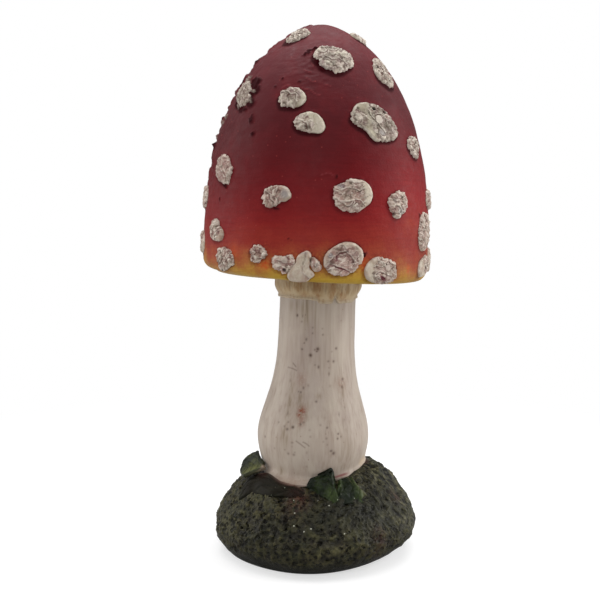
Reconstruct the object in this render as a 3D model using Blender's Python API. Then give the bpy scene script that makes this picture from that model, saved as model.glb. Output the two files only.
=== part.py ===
"""Toadstool ornament: a spotted cap on a bulbous stem that stands in a mossy mound.

Units are metres, +Z is up and the origin is the middle of the base's underside.
The front faces -Y. An azimuth is in degrees around the object from the front, positive towards +X.
"""

import math

import bmesh
import bpy
from mathutils import Vector

# Between two pieces that touch
CLEARANCE = 0.0003

# Felt pad let into the mound's underside, inset from the mound's widest line
PAD_INSET = 0.0095
PAD_THICKNESS = 0.0014
PAD_PROUD = 0.0004

# Mound: a dome that the stem's seat cuts off at the top
MOUND_RADIUS = 0.0281
MOUND_HEIGHT = 0.0243
MOUND_ROUNDNESS = 2.6
MOUND_UNDERCUT = 0.0062
MOUND_UNDERCUT_SKEW = 0.35
MOUND_UNDERCUT_HEIGHT = 0.0095
MOUND_WAVE = 0.0005
MOUND_LUMP = 0.0005
HUMP_AZIMUTH = 84
HUMP_SPREAD = 34
HUMP_RADIUS = 0.0155
HUMP_WIDTH = 0.0066
HUMP_HEIGHT = 0.0034

# Stem, measured along its own axis, which leans to the right
LEAN = 1.8
LEAN_FOOT_X = -0.00125
TENON_RADIUS = 0.0065
TENON_BOTTOM = 0.0055
SEAT_HEIGHT = 0.0155
BULB_RADIUS = 0.0152
BULB_HEIGHT = 0.031
BULB_SPREAD = 0.0133
BULB_FALL = 1.85
NECK_RADIUS = 0.0102
SHOULDER_HEIGHT = 0.0687
SPIGOT_RADIUS = 0.0062
SPIGOT_STAND = 0.001

# Pleated collar on the stem's shoulder, which flares in the lowest share of its height
COLLAR_HEIGHT = 0.0074
COLLAR_FLARE = 0.4
COLLAR_FOOT_STEP = 0.0002
COLLAR_SPREAD = 0.0014
COLLAR_PLEATS = 26
PLEAT_DEPTH = 0.0005

# Cap shell, measured from the plane of its rim
CAP_RADIUS = 0.0299
CAP_HEIGHT = 0.065
CAP_SHOULDER = 2.6
CAP_POINT = 0.6
CAP_SIDESTEP = -0.00107
RIM_FILLET = 0.0029
RIM_DROOP = 0.0009
RIM_WALL = 0.0044
CROWN_WALL = 0.004
LEDGE_WIDTH = 0.001

# Gill disc in the cap's mouth
DISC_THICKNESS = 0.0032
DISC_RECESS = 0.0012
GILL_COUNT = 40
GILL_DEPTH = 0.0016
GILL_HUB_MARGIN = 0.0017
GILL_RIM_MARGIN = 0.0009

# Warts and leaves
WART_THICKNESS = 0.0011
WART_SPACING = 0.0004
LEAF_THICKNESS = 0.0009
LEAF_PITCH = 0.001

# Facets
CAP_SEGMENTS = 52
STEM_SEGMENTS = 40
MOUND_SEGMENTS = 56
WART_SEGMENTS = 12
LEAF_STEPS = 6

# Each wart: azimuth, height as a share of the cap's, width and length in millimetres, tilt,
# then the direction and size of its nub in millimetres; the first 26 are in the front view
WARTS = (
    (-37, 0.925, 7.2, 6.4, 20, 0, 0.0),
    (74, 0.935, 6.0, 5.2, 0, 0, 0.0),
    (9, 0.833, 10.4, 8.6, -28, -60, 0.6),
    (54, 0.797, 6.6, 10.4, 12, 0, 0.0),
    (-55, 0.698, 7.6, 10.4, -8, 160, 0.5),
    (-18, 0.678, 7.0, 5.7, 5, 200, 0.4),
    (-7, 0.584, 7.6, 5.8, -12, -30, 0.6),
    (33, 0.600, 7.4, 12.0, 40, 155, 2.4),
    (59, 0.518, 5.4, 6.8, 10, 0, 0.0),
    (-56, 0.397, 7.6, 8.2, 0, -90, 0.4),
    (-20, 0.306, 7.4, 6.0, 8, 0, 0.3),
    (15, 0.327, 10.2, 8.6, 0, -80, 0.3),
    (41, 0.297, 6.4, 7.4, -15, 0, 0.0),
    (-82, 0.290, 7.0, 7.2, 0, 90, 0.4),
    (80, 0.329, 6.4, 6.0, 0, 0, 0.0),
    (-57, 0.163, 7.4, 6.2, 0, 200, 0.4),
    (-83, 0.110, 7.8, 6.6, 15, 0, 0.0),
    (66, 0.203, 7.4, 10.0, 8, 90, 0.4),
    (67, 0.066, 7.0, 6.2, 0, 0, 0.0),
    (-48.5, 0.060, 7.6, 6.3, -20, -45, 0.4),
    (-28, 0.090, 5.3, 5.2, 0, 45, 0.3),
    (-16.5, 0.060, 5.6, 5.4, -20, 110, 0.4),
    (-7, 0.057, 5.0, 7.4, -8, -50, 0.9),
    (-0.9, 0.068, 2.8, 3.6, 0, 0, 0.0),
    (12, 0.096, 10.6, 8.4, 18, 30, 0.4),
    (31.7, 0.059, 9.6, 6.7, -10, 170, 0.3),
    (89, 0.085, 8.0, 6.6, 0, 30, 0.4),
    (112, 0.095, 7.4, 7.0, 20, 0, 0.0),
    (137, 0.075, 8.6, 6.4, -10, 200, 0.5),
    (162, 0.095, 6.2, 6.8, 0, 0, 0.0),
    (-174, 0.080, 8.2, 6.6, 12, 90, 0.5),
    (-150, 0.095, 7.4, 6.2, -15, 0, 0.0),
    (-127, 0.085, 8.4, 6.8, 8, -30, 0.5),
    (-106, 0.090, 6.0, 6.6, 0, 0, 0.0),
    (98, 0.250, 6.8, 7.8, -10, 0, 0.4),
    (125, 0.290, 8.6, 7.4, 15, 120, 0.6),
    (151, 0.240, 7.0, 6.4, 0, 0, 0.0),
    (178, 0.320, 9.4, 8.2, -22, 60, 0.6),
    (-146, 0.270, 7.2, 8.2, 10, 0, 0.0),
    (-114, 0.310, 8.6, 7.4, 0, -100, 0.5),
    (104, 0.480, 7.6, 8.6, 10, 40, 0.5),
    (136, 0.520, 7.0, 7.8, -18, 0, 0.0),
    (167, 0.570, 8.8, 7.0, 14, 150, 0.7),
    (-133, 0.530, 7.4, 8.8, -12, 0, 0.4),
    (-101, 0.590, 6.8, 8.0, 6, 0, 0.0),
    (114, 0.760, 7.4, 8.2, -14, 0, 0.5),
    (-108, 0.800, 7.6, 7.4, 12, 100, 0.5),
)

# Shapes of the leaves: rows of points from the front edge back, each from left to right; a point is an
# azimuth, then leaf pitches beyond the stem's bulb and over the mound
LOBE = (
    ((-69.0, 5.2, 2.8), (-65.9, 3.8, 2.9), (-60.6, 2.5, 3.1), (-55.5, 1.2, 3.4)),
    ((-78.2, 5.2, 2.8), (-74.9, 3.0, 2.9), (-74.0, 1.3, 3.1), (-69.0, 0.0, 4.2)),
    ((-85.5, 5.2, 3.2), (-84.5, 3.0, 3.4), (-84.0, 1.3, 3.8), (-80.0, 0.0, 4.8)),
    ((-89.0, 4.8, 3.6), (-91.0, 3.5, 4.4), (-92.0, 1.8, 4.8), (-90.0, 0.2, 5.2)),
)
FLAP = (
    ((-62.4, 7.6, 1.2), (-51.8, 5.5, 1.2), (-30.9, 4.5, 1.2), (-12.0, 4.0, 1.2)),
    ((-66.5, 6.7, 1.3), (-54.0, 3.7, 1.3), (-29.8, 3.6, 1.3), (-10.5, 3.4, 1.2)),
    ((-71.0, 5.5, 1.3), (-57.0, 1.9, 1.3), (-29.9, 2.5, 1.3), (-9.5, 2.9, 1.2)),
    ((-75.3, 4.6, 1.2), (-63.0, 0.6, 1.2), (-30.6, 1.3, 1.2), (-8.5, 2.3, 1.2)),
)
FOLD = (
    ((-5.5, 1.1, 1.3), (4.4, 2.8, 1.3), (11.1, 4.5, 1.3), (15.7, 5.7, 1.3)),
    ((-6.9, 1.1, 1.6), (3.3, 2.0, 1.8), (11.3, 2.9, 2.0), (17.2, 3.8, 2.2)),
    ((-7.9, 0.9, 1.8), (2.2, 1.1, 2.4), (11.4, 1.1, 3.0), (18.7, 1.9, 3.4)),
    ((-8.1, 0.5, 1.9), (2.0, -0.2, 2.6), (12.5, -0.7, 3.9), (20.3, 0.2, 4.8)),
)
RIDGE = (
    ((19.1, 5.4, 1.3), (24.9, 6.0, 1.2), (32.2, 6.4, 1.3), (40.2, 6.4, 1.6)),
    ((19.5, 3.9, 1.6), (25.2, 4.1, 1.2), (32.1, 4.7, 1.4), (38.3, 5.3, 2.0)),
    ((20.8, 2.6, 2.0), (26.1, 2.4, 1.3), (32.0, 2.9, 1.5), (36.0, 3.8, 2.4)),
    ((22.3, 1.3, 2.4), (26.6, 1.1, 1.8), (31.2, 1.5, 1.8), (34.0, 2.3, 2.6)),
)

# Each leaf: its shape and how far around the stem it is moved
LEAVES = (
    ("leaf_left", LOBE, 0),
    ("leaf_soil_left", FLAP, 0),
    ("leaf_front", FOLD, 0),
    ("leaf_front_right", RIDGE, 0),
    ("leaf_back_right", FOLD, 137),
    ("leaf_back_left", FOLD, -160),
)

MILLIMETRE = 0.001

DISC_HUB_HEIGHT = SHOULDER_HEIGHT + CLEARANCE + COLLAR_HEIGHT + CLEARANCE
CAP_BASE = DISC_HUB_HEIGHT - DISC_RECESS
SPIGOT_TOP = DISC_HUB_HEIGHT + DISC_THICKNESS + SPIGOT_STAND
BORE_RADIUS = SPIGOT_RADIUS + CLEARANCE
COLLAR_FOOT_RADIUS = NECK_RADIUS + COLLAR_FOOT_STEP
COLLAR_TOP_RADIUS = COLLAR_FOOT_RADIUS + COLLAR_SPREAD
REBATE_RADIUS = CAP_RADIUS - RIM_WALL
REBATE_HEIGHT = DISC_RECESS + DISC_THICKNESS + CLEARANCE
DISC_RADIUS = REBATE_RADIUS - CLEARANCE
GILL_INNER_RADIUS = COLLAR_TOP_RADIUS + GILL_HUB_MARGIN
GILL_OUTER_RADIUS = DISC_RADIUS - GILL_RIM_MARGIN
PAD_RADIUS = MOUND_RADIUS - PAD_INSET
RECESS_RADIUS = PAD_RADIUS + CLEARANCE
RECESS_HEIGHT = PAD_THICKNESS + CLEARANCE


def clear_scene():
    for item in list(bpy.data.objects):
        bpy.data.objects.remove(item, do_unlink=True)


def paint(name, colour, roughness, metallic=0.0):
    """A plain material; the colour is linear red, green and blue."""
    material = bpy.data.materials.new(name)
    material.use_nodes = True
    shader = material.node_tree.nodes["Principled BSDF"]
    shader.inputs["Base Color"].default_value = (*colour, 1)
    shader.inputs["Roughness"].default_value = roughness
    shader.inputs["Metallic"].default_value = metallic
    return material


def add_object(name, mesh, material, parent=None):
    item = bpy.data.objects.new(name, mesh)
    bpy.context.scene.collection.objects.link(item)
    mesh.materials.append(material)
    item.parent = parent
    return item


def add_empty(name, location, parent=None):
    item = bpy.data.objects.new(name, None)
    bpy.context.scene.collection.objects.link(item)
    item.location = location
    item.parent = parent
    return item


def ring(azimuths, place):
    """Points of one ring, where place gives the point at an azimuth in radians."""
    return [place(azimuth) for azimuth in azimuths]


def around(count):
    return [2 * math.pi * index / count for index in range(count)]


def polar(radius, azimuth, height):
    return Vector((radius * math.sin(azimuth), -radius * math.cos(azimuth), height))


def skin(name, rings, first_pole=None, last_pole=None):
    """A closed mesh over rings of equal count, which ends in two poles or joins up with itself."""
    shape = bmesh.new()
    loops = [[shape.verts.new(point) for point in points] for points in rings]
    bands = list(zip(loops, loops[1:]))
    if first_pole is None:
        bands.append((loops[-1], loops[0]))
    for low, high in bands:
        for index in range(len(low)):
            after = (index + 1) % len(low)
            shape.faces.new((low[index], low[after], high[after], high[index]))
    for pole, loop in ((first_pole, loops[0]), (last_pole, loops[-1])):
        if pole is not None:
            tip = shape.verts.new(pole)
            for index in range(len(loop)):
                shape.faces.new((tip, loop[index], loop[(index + 1) % len(loop)]))
    bmesh.ops.recalc_face_normals(shape, faces=shape.faces)
    mesh = bpy.data.meshes.new(name)
    shape.to_mesh(mesh)
    shape.free()
    mesh.shade_smooth()
    mesh.set_sharp_from_angle(angle=math.radians(50))
    return mesh


def turned(name, profile, segments, material, parent):
    """A solid turned from a profile of radius and height, listed from the top down."""
    mesh = bpy.data.meshes.new(name)
    points = [(radius, 0, height) for radius, height in profile]
    mesh.from_pydata(points, [(index, index + 1) for index in range(len(points) - 1)], [])
    item = add_object(name, mesh, material, parent)
    screw = item.modifiers.new("turn", "SCREW")
    screw.axis = "Z"
    screw.angle = 2 * math.pi
    screw.steps = segments
    screw.render_steps = segments
    screw.use_merge_vertices = True
    screw.merge_threshold = 0.00001
    screw.use_smooth_shade = True
    return item


def shares(count):
    return [index / count for index in range(count + 1)]


def cap_line(bell_steps, fillet_steps):
    """Outer line of the cap as radius and height, from the tip down to the bottom of the rim."""
    bell_height = CAP_HEIGHT - RIM_FILLET
    line = []
    for share in shares(bell_steps):
        rise = math.cos(share * math.pi / 2)
        radius = CAP_RADIUS * (1 - rise ** CAP_SHOULDER) ** CAP_POINT
        line.append((radius, RIM_FILLET + bell_height * rise))
    for share in shares(fillet_steps)[1:]:
        turn = share * math.pi / 2
        radius = CAP_RADIUS - RIM_FILLET * (1 - math.cos(turn))
        line.append((radius, RIM_FILLET * (1 - math.sin(turn))))
    return line


def droop(point):
    """The cap's outside hangs a little lower on the right of its rim."""
    sink = RIM_DROOP * point.x / CAP_RADIUS * (1 - point.z / CAP_HEIGHT)
    return Vector((point.x, point.y, point.z - sink))


FINE_LINE = cap_line(240, 16)


def line_lengths():
    lengths = [0]
    for first, second in zip(FINE_LINE, FINE_LINE[1:]):
        lengths.append(lengths[-1] + math.dist(first, second))
    return lengths


FINE_LENGTHS = line_lengths()


def on_line(length):
    """Radius, height and outward direction of the cap's outer line at a distance from the tip."""
    index = 1
    while index < len(FINE_LENGTHS) - 1 and FINE_LENGTHS[index] < length:
        index += 1
    span = FINE_LENGTHS[index] - FINE_LENGTHS[index - 1]
    share = (length - FINE_LENGTHS[index - 1]) / span
    (radius_a, height_a), (radius_b, height_b) = FINE_LINE[index - 1], FINE_LINE[index]
    radius = radius_a + (radius_b - radius_a) * share
    height = height_a + (height_b - height_a) * share
    return radius, height, (height_a - height_b) / span, (radius_b - radius_a) / span


def length_at(height):
    """Distance from the tip at which the outer line has come down to a height."""
    for (_, below), length in zip(FINE_LINE, FINE_LENGTHS):
        if below <= height:
            return length
    return FINE_LENGTHS[-1]


def cap_point(azimuth, length, lift):
    radius, height, outwards, upwards = on_line(length)
    return droop(polar(radius + outwards * lift, azimuth, height + upwards * lift))


def make_cap_shell(material, parent):
    azimuths = around(CAP_SEGMENTS)
    rings = [ring(azimuths, lambda turn: droop(polar(radius, turn, height)))
             for radius, height in cap_line(15, 4)[1:]]
    lip_radius = CAP_RADIUS - RIM_FILLET
    inner = []
    for share in shares(2)[1:]:
        turn = share * math.pi / 2
        inner.append((lip_radius + (REBATE_RADIUS - lip_radius) * math.sin(turn),
                      DISC_RECESS * 0.5 * (1 - math.cos(turn))))
    inner.append((REBATE_RADIUS, REBATE_HEIGHT))
    cavity_radius = REBATE_RADIUS - LEDGE_WIDTH
    cavity_height = CAP_HEIGHT - CROWN_WALL - REBATE_HEIGHT
    for share in shares(8)[:-1]:
        rise = math.sin(share * math.pi / 2)
        radius = cavity_radius * (1 - rise ** CAP_SHOULDER) ** CAP_POINT
        inner.append((radius, REBATE_HEIGHT + cavity_height * rise))
    rings += [ring(azimuths, lambda turn: polar(radius, turn, height)) for radius, height in inner]
    crown = Vector((0, 0, CAP_HEIGHT - CROWN_WALL))
    mesh = skin("cap_shell", rings, Vector((0, 0, CAP_HEIGHT)), crown)
    return add_object("cap_shell", mesh, material, parent)


def make_gill_disc(material, parent):
    """The bore and the hub are centred on the stem, and the gills fan out to the cap's rim."""
    azimuths = around(2 * GILL_COUNT)
    top = DISC_RECESS + DISC_THICKNESS

    def disc_ring(radius, height, groove=0.0):
        off_centre = -CAP_SIDESTEP * max(0, 1 - (radius - BORE_RADIUS) / (DISC_RADIUS - BORE_RADIUS))
        points = []
        for index, azimuth in enumerate(azimuths):
            point = polar(radius, azimuth, height + groove * (index % 2))
            points.append(point + Vector((off_centre, 0, 0)))
        return points

    rings = [
        disc_ring(BORE_RADIUS, top),
        disc_ring(BORE_RADIUS, DISC_RECESS),
        disc_ring(GILL_INNER_RADIUS, DISC_RECESS),
        disc_ring(GILL_INNER_RADIUS + GILL_DEPTH, DISC_RECESS, GILL_DEPTH),
        disc_ring(GILL_OUTER_RADIUS, DISC_RECESS, GILL_DEPTH),
        disc_ring(DISC_RADIUS, DISC_RECESS + GILL_DEPTH),
        disc_ring(DISC_RADIUS, top),
    ]
    return add_object("gill_disc", skin("gill_disc", rings), material, parent)


def stem_radius(height):
    swell = math.exp(-(abs(height - BULB_HEIGHT) / BULB_SPREAD) ** BULB_FALL)
    return NECK_RADIUS + (BULB_RADIUS - NECK_RADIUS) * swell


def foot_profile(grow, top, steps):
    """Outer line of the stem from a height down to the bottom of its tenon, grown all round."""
    seat = SEAT_HEIGHT - grow
    profile = []
    for share in shares(steps):
        height = top + (seat - top) * share
        profile.append((stem_radius(height) + grow, height))
    bottom = TENON_BOTTOM - grow
    profile += [(TENON_RADIUS + grow, seat), (TENON_RADIUS + grow, bottom), (0, bottom)]
    return profile


def make_stem(material, parent):
    profile = [(0, SPIGOT_TOP), (SPIGOT_RADIUS, SPIGOT_TOP), (SPIGOT_RADIUS, SHOULDER_HEIGHT)]
    profile += foot_profile(0, SHOULDER_HEIGHT, 20)
    return turned("stem", profile, STEM_SEGMENTS, material, parent)


def make_collar(material, parent):
    azimuths = around(2 * COLLAR_PLEATS)
    bottom = SHOULDER_HEIGHT + CLEARANCE
    top = bottom + COLLAR_HEIGHT

    def pleated(radius, height, depth):
        return [polar(radius - depth * (index % 2), azimuth, height)
                for index, azimuth in enumerate(azimuths)]

    rings = [pleated(BORE_RADIUS, bottom, 0)]
    for share in shares(5):
        flare = math.sin(min(1, share / COLLAR_FLARE) * math.pi / 2)
        radius = COLLAR_FOOT_RADIUS + (COLLAR_TOP_RADIUS - COLLAR_FOOT_RADIUS) * flare
        rings.append(pleated(radius, bottom + COLLAR_HEIGHT * share, PLEAT_DEPTH))
    rings.append(pleated(BORE_RADIUS, top, 0))
    return add_object("stem_collar", skin("stem_collar", rings), material, parent)


def mound_reach(azimuth):
    """Radius of the mound's widest line, which is slightly out of round."""
    return MOUND_RADIUS + MOUND_WAVE * (math.sin(azimuth) + 0.5 * math.sin(5 * azimuth + 1.9))


def mound_top(x, y):
    """Height of the mound's surface over a point of its plan."""
    azimuth = math.atan2(x, -y)
    radius = math.hypot(x, y)
    share = min(radius / mound_reach(azimuth), 1)
    dome = PAD_PROUD + (MOUND_HEIGHT - PAD_PROUD) * (1 - share ** 2) ** (1 / MOUND_ROUNDNESS)
    lump = MOUND_LUMP * math.sin(4 * azimuth + 4.4) * math.sin(math.pi * share)
    lump += MOUND_LUMP * math.sin(9 * azimuth + 5 * share) * math.sin(math.pi * share) / 2
    turn = (math.degrees(azimuth) - HUMP_AZIMUTH + 180) % 360 - 180
    hump = HUMP_HEIGHT * math.exp(-(turn / HUMP_SPREAD) ** 2)
    hump *= math.exp(-((radius - HUMP_RADIUS) / HUMP_WIDTH) ** 2)
    return dome + lump + hump


def make_mound(material, seat_cutter):
    azimuths = around(MOUND_SEGMENTS)

    def surface(azimuth, turn):
        radius = mound_reach(azimuth) * math.cos(turn)
        point = polar(radius, azimuth, 0)
        height = mound_top(point.x, point.y)
        low = max(0, 1 - height / MOUND_UNDERCUT_HEIGHT)
        undercut = MOUND_UNDERCUT * (1 + MOUND_UNDERCUT_SKEW * math.sin(azimuth))
        return polar(radius - undercut * low ** 2, azimuth, height)

    rings = [
        ring(azimuths, lambda azimuth: polar(RECESS_RADIUS, azimuth, RECESS_HEIGHT)),
        ring(azimuths, lambda azimuth: polar(RECESS_RADIUS, azimuth, PAD_PROUD)),
    ]
    for turn in (0, 4, 10, 18, 27, 36, 45, 53, 61, 69, 77, 84):
        rings.append(ring(azimuths, lambda azimuth: surface(azimuth, math.radians(turn))))
    floor = Vector((0, 0, RECESS_HEIGHT))
    crown = Vector((0, 0, mound_top(0, 0)))
    mound = add_object("base_mound", skin("base_mound", rings, floor, crown), material)
    cut = mound.modifiers.new("stem seat", "BOOLEAN")
    cut.operation = "DIFFERENCE"
    cut.object = seat_cutter
    return mound


def make_seat_cutter(material, parent):
    """The stem's foot grown by the clearance, which leaves its seat in the mound."""
    top = BULB_HEIGHT + 0.5 * BULB_SPREAD
    profile = [(0, top)] + foot_profile(CLEARANCE, top, 14)
    cutter = turned("seat_cutter", profile, STEM_SEGMENTS, material, parent)
    cutter.hide_render = True
    cutter.display_type = "WIRE"
    return cutter


def make_pad(material):
    profile = [(0, PAD_THICKNESS), (PAD_RADIUS, PAD_THICKNESS), (PAD_RADIUS, 0), (0, 0)]
    return turned("base_pad", profile, MOUND_SEGMENTS, material, None)


def wart_reach(wart, direction):
    """Distance from a wart's middle to its outline, in metres, for a direction in radians."""
    azimuth, _, width, length, tilt, nub_turn, nub = wart
    turn = direction - math.radians(tilt)
    reach = 0.5 / math.hypot(math.cos(turn) / width, math.sin(turn) / length)
    reach *= 1 + 0.05 * math.sin(3 * direction + azimuth) + 0.04 * math.sin(5 * direction - azimuth)
    away = (direction - math.radians(nub_turn) + math.pi) % (2 * math.pi) - math.pi
    return (reach + nub * math.exp(-(away / 0.7) ** 2)) * MILLIMETRE


def wart_place(wart):
    return math.radians(wart[0]), length_at(wart[1] * CAP_HEIGHT)


def wart_fit(wart):
    """Share of its full size that leaves a wart room among its neighbours and above the rim."""
    azimuth, length = wart_place(wart)
    middle = cap_point(azimuth, length, 0)
    rightwards = Vector((math.cos(azimuth), math.sin(azimuth), 0))
    upwards = (cap_point(azimuth, length - MILLIMETRE, 0) - middle).normalized()
    fit = min(1, (FINE_LENGTHS[-1] - length) / wart_reach(wart, -math.pi / 2))
    for other in WARTS:
        if other is wart:
            continue
        their_azimuth, their_length = wart_place(other)
        away = cap_point(their_azimuth, their_length, 0) - middle
        direction = math.atan2(away.dot(upwards), away.dot(rightwards))
        taken = wart_reach(wart, direction) + wart_reach(other, direction + math.pi)
        fit = min(fit, (away.length - WART_SPACING) / taken)
    return fit


def make_wart(name, wart, material, parent):
    azimuth, length = wart_place(wart)
    fit = wart_fit(wart)

    def place(direction, share, lift):
        reach = wart_reach(wart, direction) * fit * share
        down = length - reach * math.sin(direction)
        turn = reach * math.cos(direction) / on_line(down)[0]
        return cap_point(azimuth + turn, down, CLEARANCE + lift * WART_THICKNESS)

    directions = around(WART_SEGMENTS)
    rings = [[place(direction, share, lift) for direction in directions]
             for share, lift in ((0.55, 0), (1, 0), (0.93, 0.7), (0.6, 1))]
    below = cap_point(azimuth, length, CLEARANCE)
    above = cap_point(azimuth, length, CLEARANCE + WART_THICKNESS)
    return add_object(name, skin(name, rings, below, above), material, parent)


def blend(values, share):
    """Value at a share along a smooth curve through evenly spaced values."""
    place = share * (len(values) - 1)
    index = min(int(place), len(values) - 2)
    step = place - index
    first, second = values[index], values[index + 1]
    before = values[index - 1] if index > 0 else 2 * first - second
    after = values[index + 2] if index + 2 < len(values) else 2 * second - first
    bend = (2 * before - 5 * first + 4 * second - after) * step ** 2
    bend += (3 * first - 3 * second + after - before) * step ** 3
    return first + 0.5 * ((second - before) * step + bend)


def settle(point, margin):
    """Move a leaf's point clear of the stem's foot and of the mound."""
    slope = math.tan(math.radians(LEAN))
    for _ in range(4):
        axis_x = LEAN_FOOT_X + slope * point.z
        aside = Vector((point.x - axis_x, point.y, 0))
        reach = stem_radius(point.z) + margin
        if aside.length < reach:
            point = Vector((axis_x, 0, point.z)) + aside.normalized() * reach
        point.z = max(point.z, mound_top(point.x, point.y) + margin * 1.3)
    return point


def make_leaf(leaf, material):
    name, shape, move = leaf
    steps = range(LEAF_STEPS + 1)

    def upper_point(along, back):
        rows = [blend([Vector(point) for point in row], along / LEAF_STEPS) for row in shape]
        azimuth, beyond, rise = blend(rows, back / LEAF_STEPS)
        point = polar(BULB_RADIUS + beyond * LEAF_PITCH, math.radians(azimuth + move), 0)
        point.z = mound_top(point.x, point.y) + rise * LEAF_PITCH
        return settle(point, CLEARANCE + LEAF_THICKNESS)

    def lower_point(along, back):
        sideways = upper_point(along + 0.5, back) - upper_point(along - 0.5, back)
        backwards = upper_point(along, back + 0.5) - upper_point(along, back - 0.5)
        sunk = sideways.cross(backwards).normalized() * LEAF_THICKNESS
        return settle(upper_point(along, back) - sunk, CLEARANCE)

    rings = []
    for back in steps:
        over = [upper_point(along, back) for along in steps]
        under = [lower_point(along, back) for along in steps]
        rings.append(over + under[::-1])
    start = sum(rings[0], Vector()) / len(rings[0])
    end = sum(rings[-1], Vector()) / len(rings[-1])
    return add_object(name, skin(name, rings, start, end), material)


def build():
    clear_scene()
    red = paint("cap paint", (0.20, 0.022, 0.02), 0.5)
    yellow = paint("gill paint", (0.42, 0.24, 0.07), 0.6)
    ivory = paint("stem paint", (0.42, 0.33, 0.26), 0.6)
    cream = paint("collar paint", (0.35, 0.25, 0.14), 0.6)
    white = paint("wart paint", (0.52, 0.45, 0.38), 0.65)
    moss = paint("moss paint", (0.035, 0.04, 0.02), 0.55)
    green = paint("leaf paint", (0.025, 0.055, 0.02), 0.35)
    felt = paint("felt", (0.03, 0.03, 0.028), 0.95)

    lean_axis = add_empty("lean_axis", (LEAN_FOOT_X, 0, 0))
    lean_axis.rotation_euler = (0, math.radians(LEAN), 0)
    cap_seat = add_empty("cap_seat", (CAP_SIDESTEP, 0, CAP_BASE), lean_axis)

    make_pad(felt)
    make_mound(moss, make_seat_cutter(ivory, lean_axis))
    make_stem(ivory, lean_axis)
    make_collar(cream, lean_axis)
    make_gill_disc(yellow, cap_seat)
    make_cap_shell(red, cap_seat)
    for number, wart in enumerate(WARTS, start=1):
        make_wart(f"wart_{number:02d}", wart, white, cap_seat)
    for leaf in LEAVES:
        make_leaf(leaf, green)
    bpy.context.view_layer.update()


build()
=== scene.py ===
"""Looks of the toadstool ornament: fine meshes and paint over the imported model, a pale studio and a camera.

Shapes are worked out in millimetres and stored in metres. The front faces -Y, and an azimuth is in
degrees around the object from the front, positive towards +X. "Up" on the cap is towards its tip.
"""

import math

import bpy
import numpy as np
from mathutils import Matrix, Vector, noise


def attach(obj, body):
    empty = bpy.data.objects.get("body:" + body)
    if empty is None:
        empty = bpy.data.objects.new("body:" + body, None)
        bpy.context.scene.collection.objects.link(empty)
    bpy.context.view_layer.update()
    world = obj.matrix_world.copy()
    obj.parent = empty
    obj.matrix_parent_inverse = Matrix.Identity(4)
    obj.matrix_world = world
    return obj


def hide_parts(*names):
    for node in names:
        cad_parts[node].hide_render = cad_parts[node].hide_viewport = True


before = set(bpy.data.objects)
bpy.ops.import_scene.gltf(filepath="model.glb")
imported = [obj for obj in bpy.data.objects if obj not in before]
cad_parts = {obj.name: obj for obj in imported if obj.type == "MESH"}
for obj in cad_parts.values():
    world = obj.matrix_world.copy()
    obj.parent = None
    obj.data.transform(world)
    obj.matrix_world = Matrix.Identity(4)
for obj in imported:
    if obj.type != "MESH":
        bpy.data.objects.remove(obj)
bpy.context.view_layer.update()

MILLIMETRE = 0.001

# Sizes of the solids, in millimetres
LEAN = math.radians(1.8)
LEAN_FOOT_X = -1.25
BULB_RADIUS, BULB_HEIGHT, BULB_SPREAD, BULB_FALL = 15.2, 31.0, 13.3, 1.85
NECK_RADIUS = 10.2
SHOULDER_HEIGHT = 68.7
COLLAR_TOP = 76.4
COLLAR_RADIUS = 11.8
CAP_BASE = 75.5
CAP_RADIUS, CAP_HEIGHT, CAP_SHOULDER, CAP_POINT = 29.9, 65.0, 2.6, 0.6
CAP_SIDESTEP = -1.07
RIM_FILLET, RIM_DROOP = 2.9, 0.9
REBATE_RADIUS, DISC_RECESS = 25.5, 1.2
BORE_RADIUS = 6.5
GILL_INNER_RADIUS, DISC_RADIUS = 13.5, 25.2
MOUND_RADIUS, MOUND_HEIGHT, MOUND_ROUNDNESS = 28.1, 24.3, 2.6
MOUND_UNDERCUT, MOUND_UNDERCUT_SKEW, MOUND_UNDERCUT_HEIGHT = 6.2, 0.35, 9.5
MOUND_WAVE, MOUND_LUMP = 0.5, 0.5
HUMP_AZIMUTH, HUMP_SPREAD, HUMP_RADIUS, HUMP_WIDTH, HUMP_HEIGHT = 84, 34, 15.5, 6.6, 3.4
PAD_RADIUS, PAD_THICKNESS, PAD_PROUD = 18.6, 1.4, 0.4


# Numbers and noise

def smooth(value, start, end):
    """0 before the start, 1 past the end and an even curve between them; the start may be the larger."""
    share = np.clip((value - start) / (end - start), 0, 1)
    return share * share * (3 - 2 * share)


def bell(*values):
    """1 where every value is 0, and less the further they are from it."""
    return np.exp(-sum(value ** 2 for value in values))


def wrapped(angle):
    """The same angle within half a turn of the front, in radians."""
    return (angle + math.pi) % (2 * math.pi) - math.pi


def full_turn(columns):
    return 2 * math.pi * np.arange(columns) / columns


def unit(vectors):
    return vectors / np.linalg.norm(vectors, axis=-1, keepdims=True)


def rough(points, size, seed, octaves=1):
    """Soft noise from -1 to 1 at each point, with features of a size in millimetres."""
    shifted = points.reshape(-1, 3) / size + np.array((seed * 7.31, seed * 3.17, seed * 5.77))
    values = [noise.fractal(point, 1.0, 2.0, octaves) for point in shifted.tolist()]
    return np.array(values).reshape(points.shape[:-1])


def cells(points, size, seed):
    """Distance to the nearest of scattered points, in their spacings, and a tone for each of them."""
    shifted = points.reshape(-1, 3) / size + np.array((seed * 2.13, seed * 6.41, seed * 4.59))
    found = [noise.voronoi(point) for point in shifted.tolist()]
    near = [distances[0] for distances, _ in found]
    tone = [math.sin(places[0].x * 91.7 + places[0].y * 47.3 + places[0].z * 23.9) for _, places in found]
    return [np.array(values).reshape(points.shape[:-1]) for values in (near, tone)]


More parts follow.
